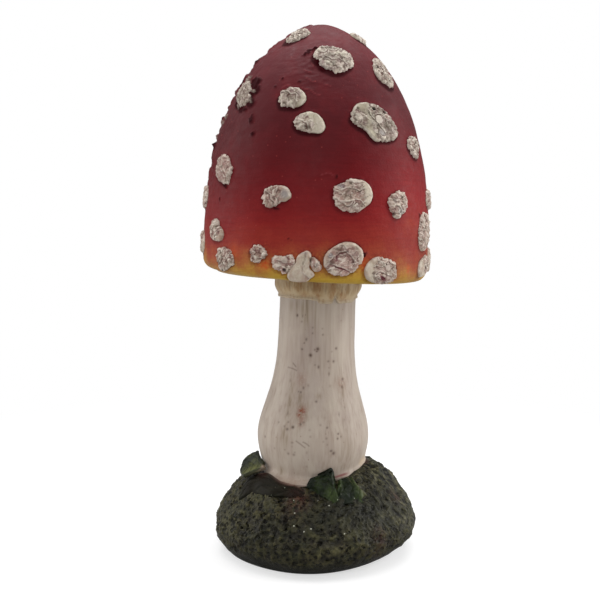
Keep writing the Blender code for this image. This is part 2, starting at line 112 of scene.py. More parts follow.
def flakes(points, size, seed):
    """Tilted flakes: a height from -1 to 1, the distance to its border in millimetres, and a tone."""
    shifted = points.reshape(-1, 3) / size + np.array((seed * 1.73, seed * 4.19, seed * 2.57))
    height, border, tone = [], [], []
    for point in shifted.tolist():
        distances, places = noise.voronoi(point)
        middle = places[0]
        first = math.sin(middle.x * 127.1 + middle.y * 311.7 + middle.z * 74.7)
        second = math.sin(middle.x * 269.5 + middle.y * 183.3 + middle.z * 246.1)
        tilt = first * (point[0] - middle.x) + second * (point[1] - middle.y)
        height.append(max(-1.0, min(1.0, tilt * 1.6)))
        border.append((distances[1] - distances[0]) * size)
        tone.append(0.5 + 0.5 * math.sin(first * 41.3 + second * 17.9))
    return [np.array(values).reshape(points.shape[:-1]) for values in (height, border, tone)]


def warped(points, size, amount, seed):
    """The points pushed about by soft noise, so that what is made from them gets wavy."""
    push = np.stack([rough(points, size, seed + axis) for axis in range(3)], axis=-1)
    return points + amount * push


# Meshes

def polar(radius, azimuth, height):
    """Points at a radius and an azimuth in radians, and at a height."""
    return np.stack(np.broadcast_arrays(radius * np.sin(azimuth), -radius * np.cos(azimuth), height), -1)


def lean(points, aside=0.0, height=0.0):
    """Points of the leaning stem's own frame, moved into the shared frame."""
    x, z = points[..., 0] + aside, points[..., 2] + height
    moved = np.array(points, dtype=float)
    moved[..., 0] = LEAN_FOOT_X + x * math.cos(LEAN) + z * math.sin(LEAN)
    moved[..., 2] = z * math.cos(LEAN) - x * math.sin(LEAN)
    return moved


def piece(name, grid, material, nodes, marks=None, first_pole=False, last_pole=False):
    """A smooth mesh over rows of points that run around it, with values painted on its points.

    Rows run from the bottom up, or from an edge inwards, and a pole closes the mesh over its end row.
    """
    rows, columns = grid.shape[:2]
    index = np.arange(rows * columns).reshape(rows, columns)
    after = np.roll(index, -1, axis=1)
    faces = np.stack([index[:-1], after[:-1], after[1:], index[1:]], axis=-1).reshape(-1, 4).tolist()
    points = grid.reshape(-1, 3)
    marks = {key: value.reshape(-1) for key, value in (marks or {}).items()}
    for wanted, row, swap in ((first_pole, 0, True), (last_pole, -1, False)):
        if wanted:
            pole = len(points)
            points = np.vstack([points, grid[row].mean(axis=0)])
            for key, value in marks.items():
                mean = value[:rows * columns].reshape(rows, columns)[row].mean()
                marks[key] = np.append(value, mean)
            pairs = zip(index[row].tolist(), after[row].tolist())
            faces += [(second, first, pole) if swap else (first, second, pole) for first, second in pairs]
    mesh = bpy.data.meshes.new(name)
    mesh.from_pydata((points * MILLIMETRE).tolist(), [], faces)
    for key, value in marks.items():
        layer = mesh.attributes.new(key, "FLOAT", "POINT")
        layer.data.foreach_set("value", value.astype(np.float32))
    mesh.shade_smooth()
    mesh.materials.append(material)
    item = bpy.data.objects.new(name, mesh)
    bpy.context.scene.collection.objects.link(item)
    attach(item, "root")
    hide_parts(*nodes)


# Shader nodes

def paint(red, green, blue):
    """A colour given as it looks on a screen, from 0 to 255, as linear light."""
    channels = [value / 255 for value in (red, green, blue)]
    return (*[c / 12.92 if c <= 0.04045 else ((c + 0.055) / 1.055) ** 2.4 for c in channels], 1)


class Nodes:
    """A node tree, with short calls to add a node and to feed a socket a value or another socket."""

    def __init__(self, tree):
        self.tree = tree

    def add(self, kind, inputs=None, **settings):
        node = self.tree.nodes.new(kind)
        for key, value in settings.items():
            setattr(node, key, value)
        for key, value in (inputs or {}).items():
            self.feed(node.inputs[key], value)
        return node

    def feed(self, socket, value):
        if isinstance(value, bpy.types.NodeSocket):
            self.tree.links.new(value, socket)
        else:
            socket.default_value = value

    def sum(self, first, second, kind="ADD"):
        return self.add("ShaderNodeMath", {0: first, 1: second}, operation=kind).outputs[0]

    def times(self, first, second):
        return self.sum(first, second, "MULTIPLY")


class Paints(Nodes):
    """The node tree of one material, with a short call for each kind of node that it uses."""

    def __init__(self, name, roughness, specular, coat=0.0, coat_roughness=0.1):
        self.material = bpy.data.materials.new(name)
        self.material.use_nodes = True
        super().__init__(self.material.node_tree)
        self.shader = self.tree.nodes["Principled BSDF"]
        self.shader.inputs["Roughness"].default_value = roughness
        self.shader.inputs["Specular IOR Level"].default_value = specular
        self.shader.inputs["Coat Weight"].default_value = coat
        self.shader.inputs["Coat Roughness"].default_value = coat_roughness
        self.place = self.add("ShaderNodeTexCoord").outputs["Object"]
        self.colour = None

    def mark(self, name, share=None):
        """The value that is painted on the mesh's points, times a share where one is given."""
        value = self.add("ShaderNodeAttribute", attribute_name=name).outputs["Fac"]
        return value if share is None else self.times(value, share)

    def stretched(self, x, y, z):
        return self.add("ShaderNodeMapping", {"Vector": self.place, "Scale": (x, y, z)}).outputs["Vector"]

    def slanted(self, tilt, length):
        """Places for noise that is drawn out along a line, tilted in the picture's plane."""
        inputs = {"Vector": self.place, "Rotation": (0, math.radians(tilt), 0), "Scale": (1, 1, length)}
        return self.add("ShaderNodeMapping", inputs, vector_type="TEXTURE").outputs["Vector"]

    def wobbled(self, size, amount):
        """Places that are pushed about by noise, by an amount in millimetres."""
        inputs = {"Vector": self.place, "Scale": 1 / (size * MILLIMETRE), "Detail": 2.0}
        push = self.add("ShaderNodeTexNoise", inputs).outputs["Color"]
        inputs = {0: push, 1: (2 * amount * MILLIMETRE,) * 3, 2: self.place}
        return self.add("ShaderNodeVectorMath", inputs, operation="MULTIPLY_ADD").outputs["Vector"]

    def noise(self, size, detail=2.0, rough=0.5, place=None, warp=0.0):
        """Noise from 0 to 1 with features of a size in millimetres."""
        inputs = {"Vector": place or self.place, "Scale": 1 / (size * MILLIMETRE), "Detail": detail,
                  "Roughness": rough, "Distortion": warp}
        return self.add("ShaderNodeTexNoise", inputs).outputs["Fac"]

    def dots(self, size, place=None):
        """Scattered points, a size in millimetres apart: the distance to the nearest and its own tone."""
        inputs = {"Vector": place or self.place, "Scale": 1 / (size * MILLIMETRE)}
        node = self.add("ShaderNodeTexVoronoi", inputs)
        return node.outputs["Distance"], node.outputs["Color"]

    def speckle(self, size, inner, outer, rarity, strength, place=None):
        """Rare small dots, full within an inner and gone past an outer share of their spacing."""
        distance, tone = self.dots(size, place)
        kept = self.span(tone, rarity, 0.7, 0.0, strength)
        return self.times(self.span(distance, inner, outer, 1.0, 0.0), kept)

    def span(self, value, low, high, to_low=0.0, to_high=1.0):
        inputs = {"Value": value, "From Min": low, "From Max": high, "To Min": to_low, "To Max": to_high}
        return self.add("ShaderNodeMapRange", inputs).outputs["Result"]

    def mix(self, share, first, second):
        """The first colour, with a share of the second over it."""
        # The sockets go by their place, because other kinds of this node share their names
        return self.add("ShaderNodeMix", {0: share, 6: first, 7: second}, data_type="RGBA").outputs[2]

    def lay(self, share, colour):
        """Put a share of a colour over what is painted so far."""
        self.colour = self.mix(share, self.colour, colour)

    def ramp(self, value, stops):
        node = self.add("ShaderNodeValToRGB", {"Fac": value})
        marks = node.color_ramp.elements
        while len(marks) < len(stops):
            marks.new(0.5)
        for mark, (place, colour) in zip(marks, stops):
            mark.position = place
            mark.color = paint(*colour)
        return node.outputs["Color"]

    def bump(self, height, depth, strength, under=None):
        """Relief from a height of 0 to 1 that stands for a depth in millimetres."""
        inputs = {"Height": height, "Distance": depth * MILLIMETRE, "Strength": strength}
        if under is not None:
            inputs["Normal"] = under
        return self.add("ShaderNodeBump", inputs).outputs["Normal"]

    def finish(self, normal, roughness=None):
        self.feed(self.shader.inputs["Base Color"], self.colour)
        self.feed(self.shader.inputs["Normal"], normal)
        if roughness is not None:
            self.feed(self.shader.inputs["Roughness"], roughness)
        return self.material


# Outer line of the cap

def cap_line():
    """Radius and height of the cap's outer line from its tip down, and the length along it."""
    rise = np.cos(np.linspace(0, math.pi / 2, 900))
    radius = CAP_RADIUS * (1 - rise ** CAP_SHOULDER) ** CAP_POINT
    height = RIM_FILLET + (CAP_HEIGHT - RIM_FILLET) * rise
    turn = np.linspace(0, math.pi / 2, 60)[1:]
    radius = np.append(radius, CAP_RADIUS - RIM_FILLET * (1 - np.cos(turn)))
    height = np.append(height, RIM_FILLET * (1 - np.sin(turn)))
    steps = np.hypot(np.diff(radius), np.diff(height))
    return radius, height, np.concatenate([[0], np.cumsum(steps)])


LINE_RADIUS, LINE_HEIGHT, LINE_LENGTH = cap_line()
LINE_OUT = -np.gradient(LINE_HEIGHT, LINE_LENGTH)
LINE_UP = np.gradient(LINE_RADIUS, LINE_LENGTH)


def length_at(height):
    return float(np.interp(height, LINE_HEIGHT[::-1], LINE_LENGTH[::-1]))


def cap_points(azimuth, length, lift):
    """Points at a lift over the cap's skin, in the shared frame."""
    radius = np.interp(length, LINE_LENGTH, LINE_RADIUS) + lift * np.interp(length, LINE_LENGTH, LINE_OUT)
    height = np.interp(length, LINE_LENGTH, LINE_HEIGHT) + lift * np.interp(length, LINE_LENGTH, LINE_UP)
    points = polar(radius, azimuth, height)
    points[..., 2] -= RIM_DROOP * points[..., 0] / CAP_RADIUS * (1 - points[..., 2] / CAP_HEIGHT)
    return lean(points, CAP_SIDESTEP, CAP_BASE)


OUTLINE_RADII = 16

# Warts: azimuth, height as a share of the cap's, the outline's radii in millimetres from the right over the
# top, and the crumpled patches as (right, up, radius) from the middle; the rest of a wart is smooth
FRONT_WARTS = (
    (-36, 0.932, (3.0, 3.0, 2.9, 3.1, 3.4, 3.8, 3.6, 3.3, 3.0, 3.1, 3.7, 3.2, 2.9, 2.5, 2.3, 2.4),
     ((0.4, 0, 3.6),)),
    (72, 0.940, (2.9, 2.9, 2.6, 2.5, 2.5, 2.6, 2.7, 2.9, 3.0, 2.8, 2.6, 2.4, 2.4, 2.5, 2.6, 2.8),
     ((0.4, 0, 2.8),)),
    (8.6, 0.836, (5.1, 4.6, 4.0, 3.7, 3.7, 4.6, 4.7, 4.8, 4.9, 4.2, 4.3, 4.4, 4.8, 5.0, 5.0, 5.3),
     ((0, 0, 6.0),)),
    (52, 0.794, (3.8, 4.0, 4.9, 5.6, 4.7, 3.6, 3.1, 2.9, 3.0, 3.2, 3.3, 3.5, 4.0, 4.2, 4.3, 4.1),
     ((0.6, -0.2, 5.0),)),
    (-58, 0.699, (3.3, 2.8, 2.3, 2.5, 3.2, 4.2, 4.4, 4.2, 4.0, 3.6, 3.3, 3.3, 3.6, 4.4, 4.4, 4.3),
     ((0, 0, 6.0),)),
    (-18, 0.678, (3.5, 3.0, 2.7, 2.5, 2.5, 2.8, 2.9, 3.3, 3.5, 3.4, 3.5, 3.1, 2.9, 3.1, 3.5, 3.7),
     ((-1.1, -0.1, 3.3),)),
    (-6.4, 0.585, (3.5, 3.0, 2.8, 2.6, 2.7, 2.7, 2.9, 3.5, 3.8, 3.6, 3.2, 2.9, 2.8, 3.0, 3.9, 4.1),
     ((-1.7, -0.9, 2.8),)),
    (30, 0.603, (6.4, 5.2, 4.7, 4.5, 4.6, 5.0, 5.7, 5.9, 6.3, 4.9, 3.9, 4.4, 5.2, 5.3, 6.6, 7.9),
     ((3.0, -0.9, 4.3), (-4.6, -0.3, 2.6), (0.6, 3.0, 1.9))),
    (60, 0.522, (3.6, 4.3, 3.5, 2.9, 2.6, 2.7, 2.9, 3.0, 3.0, 2.8, 2.7, 2.7, 2.9, 3.2, 3.3, 3.3),
     ((0.4, 0, 3.4),)),
    (-55.8, 0.400, (3.7, 3.0, 2.9, 3.3, 3.6, 4.2, 4.6, 4.4, 4.2, 3.8, 3.4, 3.2, 3.5, 4.1, 4.4, 3.8),
     ((0, -0.3, 5.0),)),
    (-20.5, 0.310, (3.8, 3.7, 3.3, 2.8, 2.6, 2.6, 2.8, 3.3, 3.5, 3.6, 3.7, 3.2, 2.7, 2.2, 2.0, 3.0),
     ((-1.5, -0.4, 3.2),)),
    (15.8, 0.329, (5.2, 5.0, 4.6, 4.0, 3.8, 3.8, 3.7, 4.6, 4.9, 4.8, 4.9, 4.4, 4.3, 4.2, 4.2, 4.8),
     ((-1.3, -0.7, 4.5),)),
    (41.3, 0.303, (3.3, 3.5, 3.6, 3.5, 3.1, 3.0, 3.1, 3.3, 3.3, 3.2, 3.2, 3.7, 3.4, 3.0, 3.0, 3.2),
     ((0, 0, 5.0),)),
    (-82, 0.287, (3.4, 3.4, 3.3, 3.3, 3.1, 3.2, 3.4, 3.4, 3.2, 3.2, 3.4, 3.2, 3.0, 3.2, 3.4, 3.4),
     ((0, 0, 5.0),)),
    (79, 0.326, (3.0, 2.9, 2.8, 2.7, 2.6, 2.7, 2.9, 3.1, 3.2, 3.1, 2.9, 2.7, 2.6, 2.8, 3.0, 3.1),
     ((0.3, 0, 3.4),)),
    (-57.4, 0.161, (3.2, 2.5, 2.0, 2.5, 2.9, 3.3, 3.5, 3.6, 3.7, 3.6, 3.1, 2.7, 2.6, 2.8, 3.2, 3.5),
     ((-0.4, 0.5, 2.6),)),
    (-82, 0.105, (3.8, 3.5, 3.3, 3.1, 3.1, 3.3, 3.5, 3.6, 3.4, 3.2, 3.3, 3.2, 3.1, 3.2, 3.5, 3.8),
     ((-0.6, 0.4, 3.2),)),
    (66, 0.200, (4.4, 5.0, 5.3, 5.2, 4.8, 4.6, 4.2, 3.9, 4.0, 4.4, 4.9, 5.1, 4.8, 4.7, 4.6, 4.4),
     ((0.5, 0.2, 4.9),)),
    (67, 0.072, (3.2, 3.6, 3.4, 2.7, 2.3, 2.1, 2.4, 3.0, 3.8, 4.4, 4.2, 3.3, 2.8, 2.6, 2.8, 3.0),
     ((1.0, 0.2, 2.6),)),
    (-49.2, 0.058, (3.6, 3.1, 3.1, 2.8, 2.8, 3.1, 3.5, 3.8, 3.7, 3.0, 3.8, 3.7, 2.8, 2.5, 2.6, 3.4),
     ((0, 0.1, 4.6),)),
    (-28.4, 0.092, (2.5, 2.4, 2.5, 2.3, 2.2, 2.2, 2.2, 2.3, 2.4, 2.4, 2.6, 2.6, 2.2, 1.8, 1.9, 2.2),
     ((0, 0, 3.0),)),
    (-15.2, 0.065, (2.6, 3.0, 2.9, 2.3, 1.7, 1.9, 2.5, 3.0, 3.3, 3.0, 2.5, 2.2, 2.6, 2.4, 2.2, 2.3),
     ((-0.2, 0, 3.6),)),
    (-7.1, 0.051, (2.1, 2.1, 3.3, 4.6, 3.9, 3.0, 2.0, 2.0, 2.4, 3.7, 4.6, 4.1, 3.8, 3.6, 3.2, 3.4),
     ()),
    (-0.9, 0.068, (1.5, 1.2, 1.2, 1.3, 1.6, 2.0, 1.7, 1.4, 1.3, 1.2, 1.3, 1.5, 1.7, 1.8, 1.8, 1.7),
     ((0.1, 0.3, 1.0),)),
    (11.7, 0.094, (5.1, 5.4, 5.0, 4.5, 4.0, 3.7, 3.7, 4.1, 4.6, 4.9, 4.7, 4.3, 4.0, 4.0, 4.0, 4.3),
     ((0.3, -1.0, 4.3),)),
    (31.5, 0.052, (5.0, 4.6, 4.0, 3.5, 3.5, 3.9, 4.2, 4.6, 4.9, 4.5, 3.7, 3.2, 3.1, 3.4, 4.0, 4.8),
     ((1.1, 0.1, 3.7),)),
)

# Folds drawn on single warts, by the wart's number: points (right, up) from the middle, raised to the left
# of the way that the line runs
FOLDS = {
    3: (((-4.0, 1.6), (-2.2, 0.8), (-1.2, 1.9), (0.4, 1.5), (1.4, 2.4)),
        ((-3.4, -0.4), (-1.8, -0.3), (-0.6, -1.3), (1.2, -1.0), (2.6, -2.2)),
        ((0.2, 0.4), (1.4, 0.6), (2.0, -0.4), (3.6, -0.6))),
    6: (((-2.8, 0.8), (-1.4, 1.0), (-0.3, 0.2), (0.9, 0.4), (1.2, -0.8)),),
    7: (((-3.0, 0.2), (-1.6, -0.2), (-0.6, -1.0), (-0.2, -2.0)),),
    8: (((-1.6, 2.3), (-0.9, 0.6), (0.3, -0.4), (1.0, -1.6), (2.4, -3.2)),
        ((0.9, 1.5), (2.0, 1.6), (3.0, 0.6), (3.4, -0.8)),
        ((-5.6, 0.8), (-4.4, 1.0), (-3.6, 0.3), (-3.9, -0.9))),
    11: (((-2.6, 0.9), (-1.4, 0.2), (-1.2, -1.0), (-0.4, -1.6)),),
    12: (((-4.5, 1.1), (-3.2, 0.75), (-1.75, 1.3), (-0.8, 1.35), (0.1, 1.2), (1.4, 0.9), (2.6, 1.3)),
        ((-4.3, -1.3), (-3.0, -1.8), (-1.4, -1.85), (-0.3, -1.5), (0.3, -1.3), (1.7, -1.5), (2.8, -2.6)),
        ((-3.8, -1.65), (-2.1, -2.6), (-1.4, -3.1), (-0.5, -2.4), (-0.1, -1.65)),
        ((-1.9, 3.1), (-0.65, 3.1), (0.1, 2.75), (1.75, 2.85), (2.5, 2.95))),
    23: (((0.9, 3.9), (0.9, 2.2), (0.2, 0.6), (0.5, -0.8), (1.7, -1.9)),),
    25: (((-1.9, 0.4), (-1.0, 1.5), (0.2, 1.9), (0.9, 1.3)), ((0.9, 1.3), (1.9, 0.6), (2.5, -0.5)),
        ((-2.4, -1.6), (-1.0, -2.0), (0.6, -2.5), (1.6, -2.9)), ((-3.6, -1.8), (-3.0, -0.4), (-2.2, 0.4))),
    26: (((-1.2, -1.4), (0.3, -1.7), (1.5, -2.5)),
        ((-2.0, 1.4), (-0.4, 1.0), (0.8, 1.5), (2.2, 0.6)), ((-1.9, -0.5), (-0.9, 0.1), (0.2, -0.3))),
}

# Pits, smooth plates and nubs on single warts, by the wart's number: right and up from the middle, radius,
# and how much is raised (below zero: a pit)
SPOTS = {
    4: ((-1.2, 1.6, 0.36, -1.0),),
    8: ((0.3, 2.9, 0.42, -1.0), (3.4, 2.3, 0.36, -1.0), (1.1, 0.2, 1.05, 0.75),
        (-4.4, 0.4, 0.9, 0.5)),
    13: ((-1.9, -2.4, 0.3, -0.7),),
    22: ((0.1, -1.5, 0.40, -0.9), (0.2, 0.9, 0.8, 0.4)),
    26: ((1.4, 1.0, 0.8, 0.5),),
}

# Lighter and darker places of single warts, partly their own tones and partly painted highlight and painted
# shade, by the wart's number: right and up from the middle, half width, half height, tilt, how light (below
# zero: dark) and how rosy (below zero: grey)
SHADES = {
    3: ((0.1, -0.4, 5.2, 4.6, 0, -0.2, -0.1), (-3.6, 1.9, 1.2, 0.7, 30, 0.8, 0),
        (-4.5, -0.3, 0.8, 0.8, 0, 0.9, 0.2), (-1.9, -0.7, 1.0, 0.6, -20, -0.55, -0.3),
        (1.0, 1.0, 1.3, 0.6, -10, 0.8, 0), (2.9, 0.8, 1.2, 0.8, -50, 0.7, 0),
        (-0.4, -2.8, 1.5, 0.4, -40, -0.7, 0), (-1.5, -2.3, 1.0, 0.35, -35, 0.9, 0),
        (1.8, -0.8, 0.8, 0.6, 0, -0.6, 0), (1.3, -2.5, 0.8, 0.5, 0, 0.4, 0),
        (2.4, -3.1, 0.8, 0.5, 30, -0.6, 0), (3.3, -3.8, 0.6, 0.4, 40, 0.7, 0.3),
        (0.9, -4.8, 2.0, 0.35, -8, 0.8, 0.2), (4.6, -1.5, 0.6, 0.9, 0, 0.7, 0.2),
        (-2.6, 2.6, 0.6, 0.25, 30, -0.6, 0)),
    4: ((0, 0, 4.4, 4.6, 0, -0.15, 0), (-0.1, 1.6, 0.3, 0.3, 0, -1.0, 0),
        (0.1, 3.6, 0.5, 0.4, 0, 0.8, 0), (-2.5, -0.1, 0.5, 1.4, -15, 0.4, 0),
        (-0.4, -1.5, 0.6, 1.0, -30, -0.5, 0), (1.2, -3.6, 0.7, 0.6, 0, 0.8, 0.2)),
    5: ((0, 0, 4.0, 4.0, 0, -0.3, 0),),
    6: ((0, 0, 3.4, 3.0, 0, -0.16, 0), (-2.8, -0.1, 1.0, 0.4, 35, 0.8, 0),
        (-0.8, 0.2, 0.6, 0.3, 50, -1.0, 0.3), (-1.8, 1.6, 0.3, 0.5, 0, -0.8, 0),
        (0.2, 2.1, 1.2, 0.4, 0, 0.6, 0), (-0.2, 1.2, 0.7, 0.3, 10, -0.6, 0.3),
        (0.2, -1.8, 0.4, 0.4, 0, 1.0, 0), (1.1, -0.7, 0.9, 0.5, 0, -0.3, 0),
        (-1.6, -2.1, 0.7, 0.3, 0, -0.8, 0), (-2.2, -2.5, 0.4, 0.5, 0, 0.6, 0),
        (2.5, 0.1, 0.9, 1.2, 0, 0.1, -0.1)),
    7: ((-0.5, 1.9, 2.0, 0.45, 10, 0.7, 0), (-0.6, -1.5, 1.0, 0.5, 0, -0.9, 0),
        (-2.0, 0.0, 1.0, 0.3, 20, 0.9, 0), (-2.7, -0.8, 0.8, 0.22, 10, -0.8, 0),
        (0.1, 0.4, 0.8, 0.7, 0, 0.6, 0), (2.0, -0.8, 1.3, 1.5, 0, 0.3, -0.2),
        (-0.8, -2.6, 1.0, 0.25, 0, 0.6, 0.3), (-3.8, -0.7, 0.4, 0.5, 0, 0.7, 0.2)),
    8: ((0.5, -0.4, 7.5, 5.6, 0, -0.38, 0), (-2.9, -1.1, 0.8, 1.6, 20, -0.35, 0),
        (-3.5, 3.4, 1.2, 0.7, 0, -0.1, 0), (-1.7, -3.5, 1.0, 1.2, 30, 0.15, 0),
        (-2.8, 0.9, 1.4, 0.22, -40, 0.8, 0), (-4.1, 2.7, 0.35, 0.35, 0, -0.9, 0),
        (-3.8, -0.0, 0.6, 0.4, 20, 0.9, 0), (-4.9, 0.7, 0.8, 0.25, -30, -0.6, 0),
        (-5.9, -0.7, 0.4, 0.8, 0, 0.3, 0), (3.3, -1.4, 0.7, 1.5, 40, -0.6, 0),
        (4.1, -3.1, 0.6, 0.5, 0, -0.6, 0.2), (-0.4, 0.8, 0.4, 1.0, 10, -0.5, 0),
        (1.1, 1.2, 0.9, 0.3, -20, -0.4, 0), (1.6, -3.0, 0.9, 0.9, 0, 0.3, -0.9),
        (1.8, -4.2, 0.6, 0.2, 10, 0.9, 0.2), (-0.0, -4.9, 1.6, 0.4, 10, 0.4, 0),
        (6.5, -3.2, 0.5, 1.3, 15, 0.5, -0.2), (-1.5, 4.4, 1.5, 0.25, -5, 0.5, 0),
        (3.9, 1.2, 0.5, 0.9, 30, 0.1, 0.4)),
    10: ((0, 0, 4.0, 4.2, 0, -0.15, 0.2),),
    11: ((0, 0, 3.4, 3.0, 0, -0.24, 0.25), (2.2, 0.5, 1.1, 1.2, 0, -0.2, -0.9),
        (-2.0, 1.7, 1.2, 0.35, 30, 0.6, 0.2), (-2.1, 0.5, 0.7, 0.4, 0, -0.7, 0.2),
        (-0.3, 0.1, 0.8, 0.22, 20, 0.7, 0), (0.0, -0.6, 0.8, 0.22, 0, -0.6, 0),
        (-3.0, -0.9, 0.4, 1.0, 0, 0.3, 0.2)),
    12: ((3.9, 0.2, 1.2, 3.0, 0, 0.75, 0), (0.2, 3.1, 1.6, 0.5, 5, 0.6, -0.3),
        (-0.8, 2.5, 0.35, 0.28, -30, -1.0, 0), (2.0, 2.4, 0.22, 0.3, 0, -0.9, 0),
        (0.2, 1.6, 1.3, 0.6, 0, -0.35, 0.2), (-3.0, 1.7, 1.1, 0.7, 0, -0.2, -0.9),
        (-3.5, 0.7, 1.0, 0.14, 0, 0.8, 0.4), (-0.7, -0.3, 2.4, 0.9, 0, 0.05, 0),
        (1.7, 0.3, 0.9, 0.4, 30, -0.5, 0.3), (-1.2, -1.5, 1.2, 0.14, 8, 0.7, 0.2),
        (0.6, -2.8, 1.5, 1.1, 0, -0.1, -0.2), (0.5, -3.6, 0.3, 0.3, 0, -0.5, 0),
        (-4.9, -0.7, 0.4, 0.8, 0, 0.5, 0.9), (-2.9, -3.8, 0.9, 0.3, -30, 0.6, 0.6),
        (0.3, -4.3, 1.5, 0.2, 0, 0.6, 0.3)),
    13: ((0.5, 2.6, 1.4, 0.4, 0, 0.6, 0), (0.9, 1.6, 0.5, 0.28, 30, -0.8, 0),
        (-1.6, 0.9, 0.6, 0.9, 0, -0.2, -0.4), (-0.7, -0.3, 1.2, 0.2, 0, 0.9, 0.6),
        (0.3, -1.8, 1.1, 1.0, 0, 0.2, -0.8), (-1.7, -1.4, 0.5, 0.8, 0, -0.2, 0),
        (-1.9, -2.4, 0.3, 0.4, 0, -0.8, 0.3), (1.2, 0.4, 0.3, 0.3, 0, -0.5, 0),
        (3.0, -0.4, 0.5, 1.2, 0, 0.4, 0.5), (-3.2, 0.1, 0.3, 1.2, 0, 0.5, 0.3)),
    22: ((-0.7, 1.6, 0.6, 0.5, 0, 0.8, 0), (1.4, 2.1, 0.7, 0.35, -20, 0.9, 0.2),
        (0.9, 1.2, 0.6, 0.22, -40, -0.9, 0.5), (-0.0, 0.5, 0.8, 0.45, 0, -0.5, -0.2),
        (2.8, 1.0, 1.2, 0.25, 10, 0.2, 1.0), (-0.2, -1.8, 0.9, 0.7, 0, 0.2, 0.9),
        (-1.2, -0.2, 1.0, 1.1, 0, 0.3, -0.2)),
    23: ((2.0, -1.2, 0.5, 2.2, 20, 0.6, 0), (0.6, 1.6, 0.5, 1.8, -20, -0.25, 0),
        (0.4, 3.7, 1.0, 0.3, 5, -0.3, -0.5), (-0.1, 0.1, 1.8, 2.2, 0, 0.45, 0),
        (2.3, 2.1, 0.4, 0.9, 15, -0.9, 0.1), (-1.3, -2.6, 2.4, 0.5, 5, 0.5, 0.1),
        (0.6, 0.4, 0.35, 1.7, 0, -0.05, 0), (2.5, 3.8, 0.6, 0.25, -60, 0.7, 0)),
    24: ((-1.0, 1.3, 0.7, 0.6, 0, -1.0, 0.1), (0.2, 0.0, 1.6, 1.8, 0, -0.25, 0.4),
        (0.4, 0.1, 0.6, 1.2, 0, 0.2, -0.3)),
    25: ((0.2, 0.0, 5.4, 4.4, 0, -0.24, 0.3), (1.3, 3.4, 2.6, 0.6, 8, 0.2, 0),
        (-0.5, 1.4, 1.1, 0.28, 15, -0.8, 0.4), (0.8, 1.8, 0.4, 0.3, 0, -0.8, 0.2),
        (-1.7, 0.4, 0.4, 0.8, 0, -0.9, 1.0), (2.3, -0.3, 0.5, 0.4, -40, -0.8, 0.2),
        (2.6, 1.0, 0.8, 0.9, 0, -0.1, 0), (0.4, -0.9, 1.4, 1.2, 0, 0.4, 0.5),
        (-0.8, -2.1, 2.2, 0.18, -18, -0.9, 0.9), (-3.2, 0.8, 0.8, 0.7, 0, -0.2, -1.0),
        (-2.9, -1.0, 0.8, 0.5, 20, -0.6, 0.2), (-2.2, -3.1, 1.3, 0.5, 0, 0.5, 0.1),
        (0.9, -3.5, 1.9, 0.4, 0, 0.4, 0.6), (4.2, 0.2, 0.6, 1.5, 0, 0.7, 0.1),
        (3.2, 2.9, 0.5, 0.3, -40, -0.5, 0), (-4.1, 1.2, 0.5, 1.2, -30, 0.5, 0.2)),
    26: ((0.3, 0, 5.2, 3.8, 0, -0.12, 0), (-3.7, 0.4, 0.9, 2.6, 10, 0.4, 0),
        (-1.4, 2.1, 0.3, 0.3, 0, -0.8, 0), (0.9, 1.7, 0.25, 0.25, 0, -0.8, 0),
        (2.2, 2.2, 0.22, 0.22, 0, -0.7, 0.4), (3.2, 1.0, 0.25, 0.25, 0, -0.6, 0),
        (0.8, 2.9, 1.0, 0.4, -20, 0.8, 0.4), (0.2, -1.4, 1.2, 0.36, -30, -1.2, 1.2),
        (-2.7, -0.4, 0.5, 0.6, 0, -0.5, 0), (2.4, -0.7, 0.9, 1.1, 0, 0.1, 0),
        (4.6, -1.0, 0.4, 1.0, 0, -0.3, 0.2), (3.1, -2.8, 2.0, 0.35, 5, 0.5, 0.1),
        (-0.3, 0.5, 0.6, 0.7, 0, 0.4, 0.2)),
}

# The other warts: azimuth, height as a share of the cap's, width and length in millimetres, and tilt
OTHER_WARTS = (
    (89, 0.085, 8.0, 6.6, 0), (112, 0.095, 7.4, 7.0, 20), (137, 0.075, 8.6, 6.4, -10),
    (162, 0.095, 6.2, 6.8, 0), (-174, 0.080, 8.2, 6.6, 12), (-150, 0.095, 7.4, 6.2, -15),
    (-127, 0.085, 8.4, 6.8, 8), (-106, 0.090, 6.0, 6.6, 0), (98, 0.250, 6.8, 7.8, -10),
    (125, 0.290, 8.6, 7.4, 15), (151, 0.240, 7.0, 6.4, 0), (178, 0.320, 9.4, 8.2, -22),
    (-146, 0.270, 7.2, 8.2, 10), (-114, 0.310, 8.6, 7.4, 0), (104, 0.480, 7.6, 8.6, 10),
    (136, 0.520, 7.0, 7.8, -18), (167, 0.570, 8.8, 7.0, 14), (-133, 0.530, 7.4, 8.8, -12),
    (-101, 0.590, 6.8, 8.0, 6), (114, 0.760, 7.4, 8.2, -14), (-108, 0.800, 7.6, 7.4, 12),
)


def all_warts():
    """Every wart as azimuth in radians, length from the tip, radii and crumpled patches."""
    warts = []
    for azimuth, share, radii, patches in FRONT_WARTS:
        warts.append((math.radians(azimuth), length_at(share * CAP_HEIGHT), np.array(radii), patches))
    for number, (azimuth, share, width, length, tilt) in enumerate(OTHER_WARTS):
        turn = full_turn(OUTLINE_RADII)
        along = turn - math.radians(tilt)
        radii = 0.5 / np.hypot(np.cos(along) / width, np.sin(along) / length)
        radii *= 1 + 0.07 * np.sin(3 * turn + number * 2.1) + 0.06 * np.sin(2 * turn + number * 1.3)
        aside = number * 2.4
        reach = 0.38 if number % 3 == 1 else 0.5
        patches = ((0.14 * width * math.cos(aside), 0.14 * length * math.sin(aside), reach * width),)
        warts.append((math.radians(azimuth), length_at(share * CAP_HEIGHT), radii, patches))
    return warts


WARTS = all_warts()


